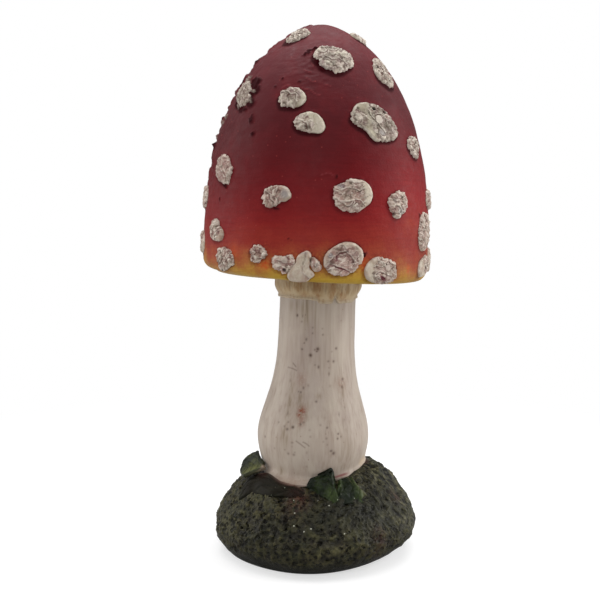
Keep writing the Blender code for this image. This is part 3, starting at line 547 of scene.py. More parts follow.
def reach_of(radii, turn):
    """Radius of a wart's outline at directions in radians, as a smooth closed curve through its radii."""
    share = (turn / (2 * math.pi) % 1) * len(radii)
    low = np.floor(share).astype(int)
    step = share - low
    before, start, end, after = [radii[(low + shift) % len(radii)] for shift in (-1, 0, 1, 2)]
    bend = 0.5 * (end - before), 0.5 * (after - start)
    square, cube = step ** 2, step ** 3
    curve = start * (2 * cube - 3 * square + 1) + end * (3 * square - 2 * cube)
    return curve + bend[0] * (cube - 2 * square + step) + bend[1] * (cube - square)


# Dabs of thick paint on the cap: azimuth, height share, width and height in millimetres, tilt, strength
DABS = (
    (-51, 0.74, 3.2, 3.4, 0, 1.3), (-46.5, 0.71, 2.4, 3.2, 20, 1.3), (-46.5, 0.655, 3.0, 2.4, 0, 1.3),
    (-52, 0.632, 3.4, 1.8, 0, 1.2), (-62, 0.66, 2.0, 2.4, 0, 1.1), (-42, 0.592, 1.5, 3.2, 5, 1.1),
    (-38.5, 0.537, 1.0, 1.0, 0, 0.9), (-49, 0.69, 2.4, 3.0, 0, 0.9), (-10, 0.868, 2.8, 1.0, 10, 0.9),
    (-14, 0.855, 2.2, 0.9, 0, 0.9), (-4, 0.815, 1.6, 2.4, 30, 0.9), (-1, 0.785, 2.2, 1.4, -30, 0.9),
    (-17, 0.845, 1.6, 0.9, 10, 0.7), (-31, 0.72, 1.2, 0.9, 0, 0.7), (-28, 0.75, 1.0, 0.9, 0, 0.6),
    (-15, 0.736, 1.2, 0.7, -20, 0.8), (8, 0.39, 2.0, 0.9, 35, 0.6), (6, 0.362, 0.9, 1.4, 0, 0.55),
    (-52, 0.335, 2.2, 1.2, -20, 0.75), (-57, 0.285, 0.8, 1.6, 0, 0.6), (-13, 0.155, 1.2, 0.7, -20, 0.45),
    (-20, 0.262, 1.8, 0.6, 0, 0.6), (22, 0.116, 1.6, 1.6, 0, 0.9), (60, 0.262, 0.8, 1.8, 0, 0.7),
    (-76, 0.75, 2.2, 3.6, 0, 0.9), (-80, 0.60, 1.6, 2.4, 0, 0.9), (-82, 0.50, 1.6, 2.2, 0, 0.8),
    (-78, 0.84, 2.4, 2.0, 0, 0.8), (120, 0.62, 2.0, 3.0, 20, 0.8), (-150, 0.64, 2.4, 1.4, -15, 0.8),
    (170, 0.45, 1.6, 2.8, 0, 0.8), (-120, 0.42, 1.4, 2.6, 10, 0.8), (145, 0.36, 2.2, 1.2, 30, 0.8),
)

# Crusty cream crumbs on the cap, laid out as the dabs are
CRUMBS = (
    (-72, 0.611, 1.6, 1.6, 0, 1.0), (-76, 0.59, 1.2, 1.2, 0, 0.9), (-63, 0.755, 2.4, 3.0, 20, 1.0),
    (-47, 0.665, 1.6, 0.6, -50, 1.0), (-47, 0.70, 1.7, 0.5, 10, 1.0), (-58, 0.645, 0.6, 1.6, 10, 0.9),
    (-88, 0.72, 1.4, 1.4, 0, 0.8), (-84, 0.535, 1.2, 1.6, 0, 0.8), (130, 0.66, 1.4, 1.2, 0, 0.8),
)

# Thin raised curls of paint: each a line through (azimuth, height share)
CURL_WIDTH = 0.13
CURLS = (
    ((-13, 0.713), (-8.4, 0.706), (-3.9, 0.691), (-1.4, 0.688)),
    ((-25.8, 0.713), (-22.8, 0.724), (-20.6, 0.720)),
    ((1.6, 0.731), (4.8, 0.724)),
    ((-10.5, 0.752), (-7.5, 0.740), (-4.5, 0.738)),
    ((-14, 0.786), (-10, 0.776), (-7.5, 0.778)),
    ((-9, 0.815), (-6.5, 0.80)),
    ((14, 0.385), (17, 0.378), (21, 0.384)),
    ((1, 0.395), (4, 0.405), (7, 0.392)),
    ((20, 0.130), (23.5, 0.118), (24, 0.108)),
    ((3, 0.115), (6, 0.108)),
)

# Orange patches near the rim, laid out as the dabs are
FLARES = (
    (-25, 0.055, 3.2, 2.6, 0, 1.0), (-43, 0.09, 2.6, 4.0, 0, 0.7), (22, 0.075, 2.2, 5.0, 20, 0.8),
    (50, 0.06, 1.6, 2.2, 0, 0.7), (120, 0.08, 3.0, 3.0, 0, 0.8), (-140, 0.07, 3.0, 3.0, 0, 0.8),
)


def cap_offsets(azimuth, length, middle_azimuth, middle_length):
    """Millimetres to the right and up over the cap's skin from a middle to points of the skin."""
    around = wrapped(azimuth - middle_azimuth) * np.interp(length, LINE_LENGTH, LINE_RADIUS)
    return around, middle_length - length


def tilted(right, up, tilt):
    """Millimetres along and across a direction, tilted in degrees from the right."""
    slope = math.radians(tilt)
    return right * math.cos(slope) + up * math.sin(slope), up * math.cos(slope) - right * math.sin(slope)


def strokes(azimuth, length, marks):
    """How strongly each point of the cap is covered by a table of dabs, from 0 to 1."""
    cover = np.zeros_like(azimuth)
    for turn, share, width, height, tilt, strength in marks:
        right, up = cap_offsets(azimuth, length, math.radians(turn), length_at(share * CAP_HEIGHT))
        along, across = tilted(right, up, tilt)
        cover = np.maximum(cover, strength * bell(2 * along / width, 2 * across / height))
    return cover


def curls(azimuth, length, plain):
    """How closely each point of the cap lies to one of the curls, from 0 to 1."""
    cover = np.zeros_like(azimuth)
    for line in CURLS:
        places = [(np.array(math.radians(turn)), np.array(length_at(share * CAP_HEIGHT)))
                  for turn, share in line]
        right, up = cap_offsets(azimuth, length, *places[0])
        near = (np.abs(right) < 8) & (np.abs(up) < 5)
        spots = [cap_offsets(*place, *places[0]) for place in places]
        away = line_offset(right[near] + 0.3 * rough(plain[near], 1.2, 12), up[near], spots)
        cover[near] = np.maximum(cover[near], bell(away / CURL_WIDTH))
    return cover


def wart_gap(azimuth, length):
    """Distance over the skin from each point of the cap to the nearest wart's outline, negative inside."""
    gap = np.full(azimuth.shape, 9.0)
    for turn, middle, radii, _ in WARTS:
        right, up = cap_offsets(azimuth, length, turn, middle)
        near = (np.abs(right) < 12) & (np.abs(up) < 12)
        beyond = np.hypot(right[near], up[near]) - reach_of(radii, np.arctan2(up[near], right[near]))
        gap[near] = np.minimum(gap[near], beyond)
    return gap


def line_offset(right, up, line):
    """Distance of points to a line through given points, above zero on its left."""
    best = np.full(right.shape, 99.0)
    for (start_right, start_up), (end_right, end_up) in zip(line, line[1:]):
        along = np.array((end_right - start_right, end_up - start_up))
        share = ((right - start_right) * along[0] + (up - start_up) * along[1]) / (along @ along)
        share = np.clip(share, 0, 1)
        aside = right - start_right - share * along[0], up - start_up - share * along[1]
        side = np.where(along[0] * aside[1] - along[1] * aside[0] < 0, -1, 1)
        away = np.hypot(*aside) * side
        best = np.where(np.abs(away) < np.abs(best), away, best)
    return best


CAP_COLUMNS = 500
FINE_BAND, FINE_ROWS, CAP_ROWS = 5, 22, 206  # the rim has finer rows, up to so many millimetres

# Line from the cap's rim into its rebate: radius, height
CAP_LIP = ((26.2, 0.18), (25.7, 0.5), (REBATE_RADIUS, 1.0), (REBATE_RADIUS, 2.6))


def make_cap(material):
    turns = full_turn(CAP_COLUMNS)
    total = LINE_LENGTH[-1]
    lengths = np.concatenate([total - np.linspace(0, FINE_BAND, FINE_ROWS),
                              np.linspace(total - FINE_BAND, 0, CAP_ROWS)[1:-1]])
    azimuth, length = np.meshgrid(turns, lengths)
    plain = cap_points(azimuth, length, 0.0)
    gap = wart_gap(azimuth, length)
    dab = strokes(azimuth, length, DABS)
    flare = strokes(azimuth, length, FLARES)
    crumb = rough(plain, 0.9, 1, 2)
    torn = 0.5 * rough(plain, 1.15, 10, 2)
    dab = smooth(dab + torn, 0.36, 0.6) * smooth(dab, 0.06, 0.3)
    grain = strokes(azimuth, length, CRUMBS)
    grain = smooth(grain + torn, 0.34, 0.56) * smooth(grain, 0.06, 0.3)
    curl = curls(azimuth, length, plain)
    share = np.interp(length, LINE_LENGTH, LINE_HEIGHT) / CAP_HEIGHT

    # Bumps on the left side, level brush lines, scuffs near the top, run paint and painted shade round the
    # warts
    turned = np.degrees(wrapped(azimuth))
    bumpy = smooth(share, 0.25, 0.4) * smooth(rough(plain, 2.4, 9, 2), 0.0, 0.5)
    bumpy *= bell((turned + 88) / 24)
    sheet = np.stack([azimuth * 9, length * 1.2 + azimuth * 3, 0 * length], axis=-1)
    brush = rough(warped(sheet, 2.5, 0.4, 14), 1.0, 16, 2)
    scuffed = bell((turned + 9) / 13, (share - 0.78) / 0.08)
    skirt = bell(np.maximum(gap, 0) / 0.55) * smooth(rough(plain, 3.5, 5), -0.25, 0.35)
    # Darker red round each wart: part paint, part painted shade
    wart_paint_and_shade = bell(np.maximum(gap, 0) / 1.3)
    radius = np.maximum(np.interp(length, LINE_LENGTH, LINE_RADIUS), 1)
    # A painted shadow below each wart, and painted shade along its edge
    below = wart_gap(azimuth + 0.5 / radius, length - 0.6 - 0.7 * smooth(share, 0.4, 0.8))
    painted_wart_shadow = smooth(-below, -0.45, 0.35) * (0.35 + 0.65 * smooth(share, 0.2, 0.6))
    painted_wart_shadow = np.maximum(painted_wart_shadow, 0.7 * smooth(gap, 0.4, 0.05) * smooth(rough(plain, 3.6, 4), -0.1, 0.4))

    lift = 0.16 * rough(plain, 11, 2) + 0.07 * rough(plain, 3.5, 3) + 0.02 * crumb
    lift += brush * (0.03 + 0.14 * scuffed) + 0.16 * curl + 0.5 * bumpy
    lift += skirt * (0.12 + 0.16 * crumb) + dab * (0.34 + 0.4 * crumb) + grain * (0.5 + 0.5 * crumb)
    lift *= smooth(total - length, 0, 3) * 0.85 + 0.15
    outer = cap_points(azimuth, length, lift)
    inner = [lean(polar(edge, turns, np.full(CAP_COLUMNS, level)), CAP_SIDESTEP, CAP_BASE)
             for edge, level in reversed(CAP_LIP)]

    warm = 0.012 * np.cos(azimuth - 0.15) + 0.02 * rough(plain, 9, 7) + 0.008 * rough(plain, 2.5, 8, 2)
    rosy = bell((turned - 56) / 28) * smooth(share, 0.1, 0.3) * smooth(share, 0.75, 0.3)
    warm += 0.13 * rosy - 0.028 * bell((turned + 52) / 24)
    warm -= 0.03 * bell((turned - 52) / 20) * smooth(share, 0.2, 0.1)
    marks = {
        "rise": share - warm,
        "dab": np.clip(dab + 0.4 * skirt * smooth(crumb, -0.1, 0.4), 0, 1),
        "wart_paint_and_shade": wart_paint_and_shade,
        "painted_wart_shadow": painted_wart_shadow,
        "flare": flare,
        "grain": grain,
        "curl": curl,
        "rosy": rosy,
    }
    unpainted = np.zeros((len(CAP_LIP), CAP_COLUMNS))
    marks = {key: np.concatenate([unpainted, value]) for key, value in marks.items()}
    piece("cap", np.concatenate([np.stack(inner), outer]), material, ["cap_shell"], marks,
          last_pole=True)


# Section of a wart's edge from under the skin to its face: how far inside the outline, and height
WART_WALL = ((0.06, -0.45), (0.0, -0.1), (0.04, 0.1), (0.13, 0.26), (0.24, 0.4), (0.38, 0.52), (0.54, 0.6))
WART_FACE_INSET, WART_FACE_HEIGHT = 0.66, 0.64

THINNEST_SHADE = 0.24

# Distance between the points of a wart's mesh, in front and elsewhere
FRONT_PITCH, OTHER_PITCH = 0.14, 0.2

# The wart that is smooth but for two soft folds
SOFT_WART = 23


def make_wart(number, wart, material):
    azimuth, middle, radii, patches = wart
    widest = float(radii.mean())
    pitch = FRONT_PITCH if number <= len(FRONT_WARTS) else OTHER_PITCH
    turns = full_turn(int(max(60, 2 * math.pi * widest / pitch)))
    inward = np.linspace(1 - WART_FACE_INSET / widest, 0, int(widest / pitch))[:-1]
    shares = np.array([1 - inset / widest for inset, _ in WART_WALL] + inward.tolist())
    edge = np.array([lift for _, lift in WART_WALL] + [WART_FACE_HEIGHT] * len(inward))
    turn, share = np.meshgrid(turns, shares)
    _, lift = np.meshgrid(turns, edge)

    def place(share, lift):
        reach = reach_of(radii, turn) * share
        length = middle - reach * np.sin(turn)
        around = reach * np.cos(turn) / np.interp(length, LINE_LENGTH, LINE_RADIUS)
        length = np.minimum(length, LINE_LENGTH[-1] - 0.2)
        return cap_points(azimuth + around, length, lift), reach

    flat, reach = place(share, 0.0)
    right, up = reach * np.cos(turn), reach * np.sin(turn)
    away = np.full(right.shape, 9.0)
    for patch_right, patch_up, patch_radius in patches:
        away = np.minimum(away, np.hypot(right - patch_right, up - patch_up) - patch_radius)
    away = away + 0.6 * rough(flat, 1.3, 9, 2)
    crumple = smooth(-away, -0.3, 0.3)

    # Torn flakes, each tilted its own way, and the folds that are drawn on single warts
    lines = FOLDS.get(number, ())
    shades = SHADES.get(number, ())
    along, across = tilted(right, up, math.degrees(number * 2.4))
    plan = np.stack([0.68 * along, 1.15 * across, 0 * up + number * 3.7], axis=-1)
    flow = warped(plan, 1.3, 0.6, 21 + number)
    height, rift, tone = flakes(flow, 1.35 if lines else 1.1, number)
    small, small_rift, small_tone = flakes(warped(plan, 0.7, 0.3, 24 + number), 0.7, number + 50)
    torn = 0.6 if shades else 0.85
    flake = torn * (0.30 * height + 0.12 * small)
    low = smooth(-height, -0.1, 0.25)
    # Creases: brown wash and painted shade under flake edges; lips: painted highlights on raised edges
    crease = torn * smooth(rift, 0.22, 0.03) * low
    crease = np.maximum(crease, 0.6 * torn * smooth(small_rift, 0.15, 0.02) * smooth(-small, 0.05, 0.35))
    lip = torn * smooth(height, 0.18, 0.5) * smooth(rift, 0.5, 0.1) + 0.6 * torn * smooth(small, 0.2, 0.5)
    swell = 0.5 + 0.8 * rough(flow, 1.7, 34)
    # Each flake's own tone, painted lighter towards its raised side as a painted highlight
    tone = np.clip(torn * (0.5 * tone + 0.3 * small_tone + 0.35 * height + 0.1) + (1 - torn) * swell, 0, 1)
    mask = 0.3 + 0.7 * crumple
    fold_depth, fold_width = (0.35, 0.4) if number == SOFT_WART else (0.75, 0.13)
    for line in lines:
        offset = line_offset(right + 0.2 * rough(flat, 0.9, 29), up + 0.2 * rough(flat, 0.9, 31), line)
        strong = fold_depth + 0.4 * rough(flat, 1.1, 32)
        flake = flake + 0.15 * smooth(offset, 0, 0.14) * np.exp(-np.maximum(offset, 0) / 0.6)
        # Painted shade along the fold and a painted highlight beside it
        drawn = strong * bell((offset + 0.05) / fold_width)
        crease = np.maximum(crease * smooth(np.abs(offset), 0.1, 0.5), drawn)
        lip = np.maximum(lip, 0.8 * bell((offset - 0.2) / 0.16))
        mask = np.maximum(mask, bell(offset / 0.5))

    # Lighter and darker places, laid over each other, then pits and plates
    # The lighter places are partly painted highlights and the darker ones partly painted shade
    light, hue = np.zeros_like(right), np.zeros_like(right)
    wavy_right, wavy_up = right + 0.2 * rough(flat, 0.9, 40, 2), up + 0.2 * rough(flat, 0.9, 42, 2)
    for shade_right, shade_up, half_width, half_height, tilt, value, rosy in shades:
        along, across = tilted(wavy_right - shade_right, wavy_up - shade_up, tilt)
        cover = bell((along / half_width) ** 2 + (across / max(half_height, THINNEST_SHADE)) ** 2)
        light = light * (1 - cover) + value * cover
        hue = hue * (1 - cover) + rosy * cover
    crease = crease * (1 - 0.7 * np.maximum(light, 0))
    lip = lip * (1 - 0.8 * np.maximum(-light, 0))
    pit = np.zeros_like(right)
    for spot_right, spot_up, size, raised in SPOTS.get(number, ()):
        beyond = np.hypot(right - spot_right, up - spot_up) + 0.15 * rough(flat, 0.8, 33) - size
        inner = smooth(beyond, 0.12, -0.1)
        if raised < 0:
            pit = np.maximum(pit, -raised * inner)
        else:
            flake = flake * (1 - inner) + 0.2 * raised * inner
            crease = np.maximum(crease * (1 - inner), 0.8 * raised * bell((beyond - 0.15) / 0.12))
            lip = np.maximum(lip * (1 - inner), raised * inner * 0.9)
    inside = smooth(1 - share, 0.0, 0.06)
    crease = np.clip(crease * mask, 0, 1) * inside
    # A painted highlight along the rim
    rim_light = bell(((1 - share) * widest - 0.3) / 0.26) * smooth(rough(flat, 1.1, 36), -0.4, 0.3)
    lip = np.clip(np.maximum(lip * mask, 0.8 * rim_light), 0, 1)

    torn_edge = 0.45 * rough(flat, 0.8, 11, 2) + 0.2 * rough(flat, 0.4, 12)
    ragged = 1 + torn_edge * (0.15 + 0.85 * crumple) * share / widest
    bed = 0.16 * (1 - share ** 2) + 0.07 * rough(flat, 2.4, 13)
    relief = mask * (0.04 * rough(flat, 0.7, 15, 2) + flake - 0.13 * crease) - 0.5 * pit
    relief += (1 - crumple) * (0.04 + 0.06 * rough(flat, 1.4, 17))
    relief += 0.14 * np.maximum(light, 0) - 0.26 * np.maximum(-light - 0.3, 0)
    points, _ = place(share * ragged, lift + (bed + relief) * smooth(lift, 0.1, 0.62))
    marks = {
        "crumple": crumple,
        "crease": crease,
        "lip": lip * (1 - crease) * (1 - pit),
        "tone": tone,
        "pit": pit,
        "light": light,
        "hue": hue,
        "rind": smooth(lift, 0.3, 0.0) * smooth(rough(flat, 1.6, 38), -0.2, 0.4),
        "blush": np.full(right.shape, float(smooth(LINE_LENGTH[-1] - middle, 42, 26))),
    }
    node = f"wart_{number:02d}"
    piece(f"crust_{number:02d}", points, material, [node], marks, last_pole=True)


# Stem and collar

def stem_radius(height):
    swell = np.exp(-(np.abs(height - BULB_HEIGHT) / BULB_SPREAD) ** BULB_FALL)
    return NECK_RADIUS + (BULB_RADIUS - NECK_RADIUS) * swell


# Pinholes of the stem: azimuth, height, radius in millimetres, how much taller than wide, strength; the
# shading of a pinhole reaches past its radius
PINHOLE_REACH = 0.75 ** -0.5
PINHOLES = (
    (-32, 64.9, 0.30, 1.1, 1.0), (-24, 63.4, 0.20, 1.0, 0.5), (-23, 64.9, 0.18, 2.4, 0.5),
    (-7, 62.0, 0.20, 1.2, 0.5), (-7, 60.5, 0.20, 1.2, 0.6), (7, 61.8, 0.20, 1.0, 0.4),
    (8, 60.2, 0.24, 1.0, 0.6), (-16, 58.8, 0.26, 1.5, 0.7), (-19, 57.8, 0.20, 1.0, 0.7),
    (-22, 56.1, 0.28, 0.8, 0.8), (-3, 56.2, 0.22, 1.0, 0.7), (1, 56.4, 0.36, 1.1, 1.0),
    (0, 55.8, 0.26, 0.8, 0.9), (-9, 54.7, 0.38, 1.0, 1.1), (29, 56.5, 0.30, 1.0, 0.8),
    (22, 55.7, 0.20, 1.0, 0.4), (17, 53.2, 0.30, 0.8, 0.6), (25, 53.1, 0.28, 1.1, 0.8),
    (-2, 52.2, 0.20, 1.0, 0.5), (3, 51.7, 0.24, 1.5, 0.8), (18, 51.5, 0.22, 0.8, 0.4),
    (18, 49.9, 0.20, 2.0, 0.6), (39, 48.3, 0.32, 1.1, 0.8), (19, 46.8, 0.30, 1.0, 0.3),
    (37, 46.3, 0.30, 1.1, 0.7), (-36, 47.6, 0.30, 1.4, 0.4), (-16, 46.2, 0.22, 1.6, 0.7),
    (-10, 46.9, 0.26, 1.3, 0.4), (-19, 45.0, 0.24, 1.0, 0.8), (-22, 45.1, 0.20, 1.0, 0.6),
    (1, 42.9, 0.26, 1.0, 0.7), (-23, 36.1, 0.34, 1.0, 1.0), (-29, 35.4, 0.36, 0.9, 0.8),
    (-33, 36.0, 0.26, 1.0, 0.6), (-29, 37.2, 0.22, 1.0, 0.6), (-41, 36.7, 0.22, 1.0, 0.6),
    (13, 36.4, 0.24, 1.1, 0.8), (25, 34.7, 0.24, 1.0, 0.9), (6, 37.1, 0.26, 1.0, 0.4),
    (-5, 35.8, 0.26, 1.0, 0.3), (34, 38.0, 0.26, 1.2, 0.3), (28, 39.5, 0.18, 2.4, 0.5),
    (37, 41.1, 0.24, 1.0, 0.3), (-32, 39.3, 0.22, 2.2, 0.4), (-15, 37.0, 0.28, 1.0, 0.7),
    (-12, 37.5, 0.24, 1.0, 0.6), (-59, 31.9, 0.26, 1.2, 0.8), (-22, 32.2, 0.30, 0.8, 0.5),
    (28, 33.9, 0.20, 1.0, 0.6), (24, 33.5, 0.24, 1.0, 0.8), (17, 30.4, 0.34, 0.8, 0.8),
    (20, 29.7, 0.36, 1.1, 0.9), (-26, 29.1, 0.30, 1.0, 0.6), (-20, 29.0, 0.30, 1.0, 0.6),
    (-19, 29.7, 0.20, 1.0, 0.4), (-43, 29.7, 0.22, 1.0, 0.4), (-30, 30.0, 0.22, 1.0, 0.4),
    (-22, 31.2, 0.20, 1.0, 0.3), (12, 33.7, 0.24, 1.0, 0.5), (9, 32.9, 0.20, 1.0, 0.4),
    (13, 32.1, 0.20, 1.0, 0.4), (-4, 34.1, 0.24, 1.0, 0.4), (-7, 29.9, 0.22, 1.4, 0.3),
    (-7, 26.0, 0.26, 1.0, 0.3), (100, 52.0, 0.3, 1.0, 1.0), (140, 44.0, 0.3, 1.2, 0.8),
    (-120, 49.0, 0.3, 1.0, 1.0), (-160, 38.0, 0.3, 1.0, 0.7), (170, 57.0, 0.3, 1.0, 0.9),
    (-95, 41.0, 0.3, 1.0, 0.8), (120, 33.0, 0.36, 1.0, 0.9),
)

# Rusty stains and brown smears of the stem: azimuth, height, half width, half height, strength
STAINS = (
    (-15, 40.4, 1.0, 0.9, 1.3), (-18, 39.3, 0.6, 0.6, 1.1), (-12, 40.8, 0.6, 0.5, 0.9),
    (-14, 38.5, 0.9, 1.4, 0.5), (-15, 37.2, 0.9, 0.8, 0.45), (37, 47.2, 1.6, 1.6, 0.35),
    (-19, 48.2, 1.4, 1.8, 0.3), (34, 47.0, 0.6, 0.6, 0.5), (150, 40.0, 1.6, 2.0, 0.5),
    (-110, 35.0, 1.6, 2.6, 0.4),
)
SMEARS = (
    (-15, 40.2, 2.0, 3.8, 0.7), (-31, 32.6, 1.0, 2.8, 1.3), (-32, 42.9, 0.9, 5.0, 0.8),
    (-19, 43.6, 1.2, 3.0, 0.7), (-37, 23.9, 1.1, 1.6, 0.8), (-17, 65.6, 0.8, 6.5, 1.1),
    (-43, 67.4, 0.5, 1.8, 1.0), (-33, 67.6, 0.5, 1.8, 1.0), (-23, 67.0, 0.5, 2.6, 1.0),
    (37, 47.1, 1.2, 5.0, 0.5), (4, 44.3, 0.9, 0.6, 0.7), (-4, 64.6, 0.3, 5.0, 0.9),
    (34, 30.0, 2.0, 6.0, 0.3), (110, 40.0, 1.2, 6.0, 0.6), (-150, 46.0, 1.4, 7.0, 0.6),
    (170, 36.0, 1.8, 5.0, 0.6),
)

# Scratches in the stem's paint: lines through (azimuth, height)
SCRATCHES = (
    ((-43, 50.9), (-35, 50.8), (-28, 50.4)), ((-35, 52.2), (-30, 51.4)),
    ((-18, 32.7), (-14, 32.1), (-9, 31.2)), ((-11, 32.6), (-8, 32.3), (-5, 31.7)),
    ((140, 52.0), (147, 51.2)), ((-100, 33.0), (-92, 32.2)),
)

# How far the stem's foot spreads over the mound: azimuth, millimetres
FLANGE = (
    (-180, 0.3), (-84, 0.4), (-72, 0.7), (-47, 1.9), (-33, 2.5), (-14, 2.9), (-4.5, 2.9), (-2.5, 1.6),
    (0, 0.4), (20, 0.4), (33, 1.0), (39, 1.2), (50, 0.5), (61, 0.8), (71, 0.9), (80, 0.4), (180, 0.3),
)


STEM_COLUMNS, STEM_ROWS, TENON_ROWS = 360, 310, 8
TENON_BASE, STEM_IN_SIGHT = 14, 19
SHOULDER_MARGIN = 2.5
SCRATCH_WIDTH = 0.16


def smudges(azimuth, height, radius, table):
    """How strongly each point of the stem is covered by a table of marks."""
    cover = np.zeros_like(radius)
    for turn, level, width, tall, strength in table:
        right = wrapped(azimuth - math.radians(turn)) * radius
        cover = np.maximum(cover, strength * bell(right / width, (height - level) / tall))
    return cover


def make_stem(material):
    front = np.linspace(-math.pi, math.pi, STEM_COLUMNS + 1)[:-1]
    turns = front - 0.42 * np.sin(front)  # finer towards the front
    heights = np.concatenate([np.linspace(TENON_BASE, STEM_IN_SIGHT, TENON_ROWS)[:-1],
                              np.linspace(STEM_IN_SIGHT, SHOULDER_HEIGHT + SHOULDER_MARGIN, STEM_ROWS)])
    azimuth, height = np.meshgrid(turns, heights)
    radius = stem_radius(height)
    plain = polar(radius, azimuth, height)
    drawn = plain * np.array((1, 1, 0.07))
    groove = rough(drawn, 0.85, 41, 2)
    wide = rough(drawn * np.array((1, 1, 0.6)), 3.2, 43)
    ridge = 1 - np.abs(rough(drawn, 1.7, 45))
    lift = 0.035 * groove + 0.10 * wide + 0.04 * (ridge - 0.8) + 0.1 * rough(plain, 6.5, 47)

    pit = smudges(azimuth, height, radius,
                  [(turn, level, PINHOLE_REACH * size, PINHOLE_REACH * size * stretch, strength)
                   for turn, level, size, stretch, strength in PINHOLES])
    for line in SCRATCHES:
        start_turn, start_level = line[0]
        right = wrapped(azimuth - math.radians(start_turn)) * radius
        spots = [(math.radians(turn - start_turn) * float(stem_radius(level)), level - start_level)
                 for turn, level in line]
        near = (np.abs(right) < 6) & (np.abs(height - start_level) < 3)
        away = line_offset(right[near], height[near] - start_level, spots)
        pit[near] = np.maximum(pit[near], 0.55 * bell(away / SCRATCH_WIDTH))
    pit = np.minimum(pit, 1)
    lift -= 0.12 * pit

    turned = np.degrees(wrapped(azimuth))
    flange = np.interp(turned, *zip(*FLANGE))
    ground = mound_top(azimuth, radius + flange) + 0.45
    above = height - ground
    lift += flange * np.exp(-(np.maximum(above, 0) / 0.8) ** 1.2)
    marks = {
        "pit": pit,
        "stain": smudges(azimuth, height, radius, STAINS),
        "smear": smudges(azimuth, height, radius, SMEARS),
        "lilac": bell((np.degrees(azimuth) + 14) / 22) * smooth(height, 34, 44) * smooth(height, 66, 60),
        "foot": smooth(height, 22.6 + 1.6 * rough(polar(8, azimuth, 0 * height), 5, 49), 20.0),
        "line": np.exp(-((turned - 31) / 9) ** 4) * bell((above - 0.5) / 0.35),
        "cream": np.exp(-((turned - 66) / 7) ** 4) * bell((above - 1.0) / 1.1),
    }
    piece("stalk", lean(polar(radius + lift, azimuth, height)), material, ["stem"], marks,
          last_pole=True)


COLLAR_COLUMNS = 960
COLLAR_LIP = 69.2

# Rows of the collar's lower lip: millimetres beyond the neck and over the lip, groove, how pale
LIP_ROWS = ((-0.5, 0.5, 0.0, 0.4), (0.1, 0.02, 0.0, 0.7), (0.42, 0.0, 0.0, 1.0), (0.58, 0.22, 0.0, 1.0),
            (0.52, 0.5, 0.0, 0.9), (0.4, 0.75, 0.05, 0.4))


def make_collar(material):
    azimuth = full_turn(COLLAR_COLUMNS)
    flat = np.zeros(COLLAR_COLUMNS)
    circle = polar(10.0, azimuth, flat)
    front = np.degrees(wrapped(azimuth))
    lip = COLLAR_LIP + 0.42 * rough(circle, 6, 51) + 0.14 * rough(circle, 2.2, 53, 2)
    lip -= 0.8 * smooth(front, -4, 2) * smooth(front, 75, 55)
    lip += 1.5 * bell((front - 24) / 3.2)
    strength = 0.4 + 0.6 * smooth(rough(circle, 2.6, 59), -0.4, 0.4)
    neck = stem_radius(lip)
    rows = [(neck + beyond, lip + over, groove, pale) for beyond, over, groove, pale in LIP_ROWS]
    lip_top = lip + LIP_ROWS[-1][1]
    for share in np.linspace(0.1, 1, 22):
        flare = math.sin(min(1, share / 0.42) * math.pi / 2)
        height = lip_top + (COLLAR_TOP - lip_top) * share
        swell = 0.12 * rough(polar(10, azimuth, height), 4, 61)
        groove = (0.08 + 0.1 * flare) * float(smooth(share, 0.08, 0.34))
        beyond = neck + 0.35 + (COLLAR_RADIUS - 10.6) * flare + swell
        rows.append((beyond, height, groove, max(0, 0.5 - 3 * share)))
    rows.append((flat + BORE_RADIUS, flat + COLLAR_TOP, 0.0, 0.0))

    grid, recess, rim = [], [], []
    for radius, height, groove, pale in rows:
        level = polar(10.0, azimuth, flat + np.mean(height) * 0.09)
        flute = smooth(rough(level, 0.42, 55) + 0.5 * rough(level, 0.8, 57), -0.5, 0.5)
        grid.append(lean(polar(radius - groove * (1 - flute) * strength, azimuth, height)))
        recess.append((1 - flute) * strength * min(1, groove / 0.15))
        rim.append(flat + pale)
    marks = {"recess": np.stack(recess), "rim": np.stack(rim)}
    piece("ruff", np.stack(grid), material, ["stem_collar"], marks)


GILL_COLUMNS = 1440
GILLS = 60
GILL_DEPTH = 1.4


def make_gills(material):
    azimuth = full_turn(GILL_COLUMNS)
    wander = azimuth + 0.006 * rough(polar(14, azimuth, np.zeros(GILL_COLUMNS)), 3, 71)
    blade = np.abs(np.sin(GILLS * wander)) ** 0.7
    short = np.abs(np.sin(2 * GILLS * wander)) ** 0.8
    rows, depth = [], []
    radii = [BORE_RADIUS, 10.0, 12.6, GILL_INNER_RADIUS]
    radii += np.linspace(14, 24.6, 26).tolist() + [DISC_RADIUS]
    for radius in radii:
        deep = float(smooth(radius, GILL_INNER_RADIUS - 0.6, 15.5) * smooth(radius, 25.2, 24.0))
        outer = float(smooth(radius, 18.5, 20.5))
        shape = blade * (1 - outer) + np.maximum(blade * 0.9, short) * outer
        height = DISC_RECESS + GILL_DEPTH * deep * shape + 0.5 * float(smooth(radius, 22.5, 25.2))
        aside = -CAP_SIDESTEP * max(0.0, 1 - (radius - BORE_RADIUS) / (DISC_RADIUS - BORE_RADIUS))
        rows.append(lean(polar(radius, azimuth, height) + np.array((aside, 0, 0)), CAP_SIDESTEP, CAP_BASE))
        depth.append(deep * shape)
    piece("gills", np.stack(rows), material, ["gill_disc"], {"depth": np.stack(depth)})


# Mound, pad and leaves

def mound_reach(azimuth):
    return MOUND_RADIUS + MOUND_WAVE * (np.sin(azimuth) + 0.5 * np.sin(5 * azimuth + 1.9))


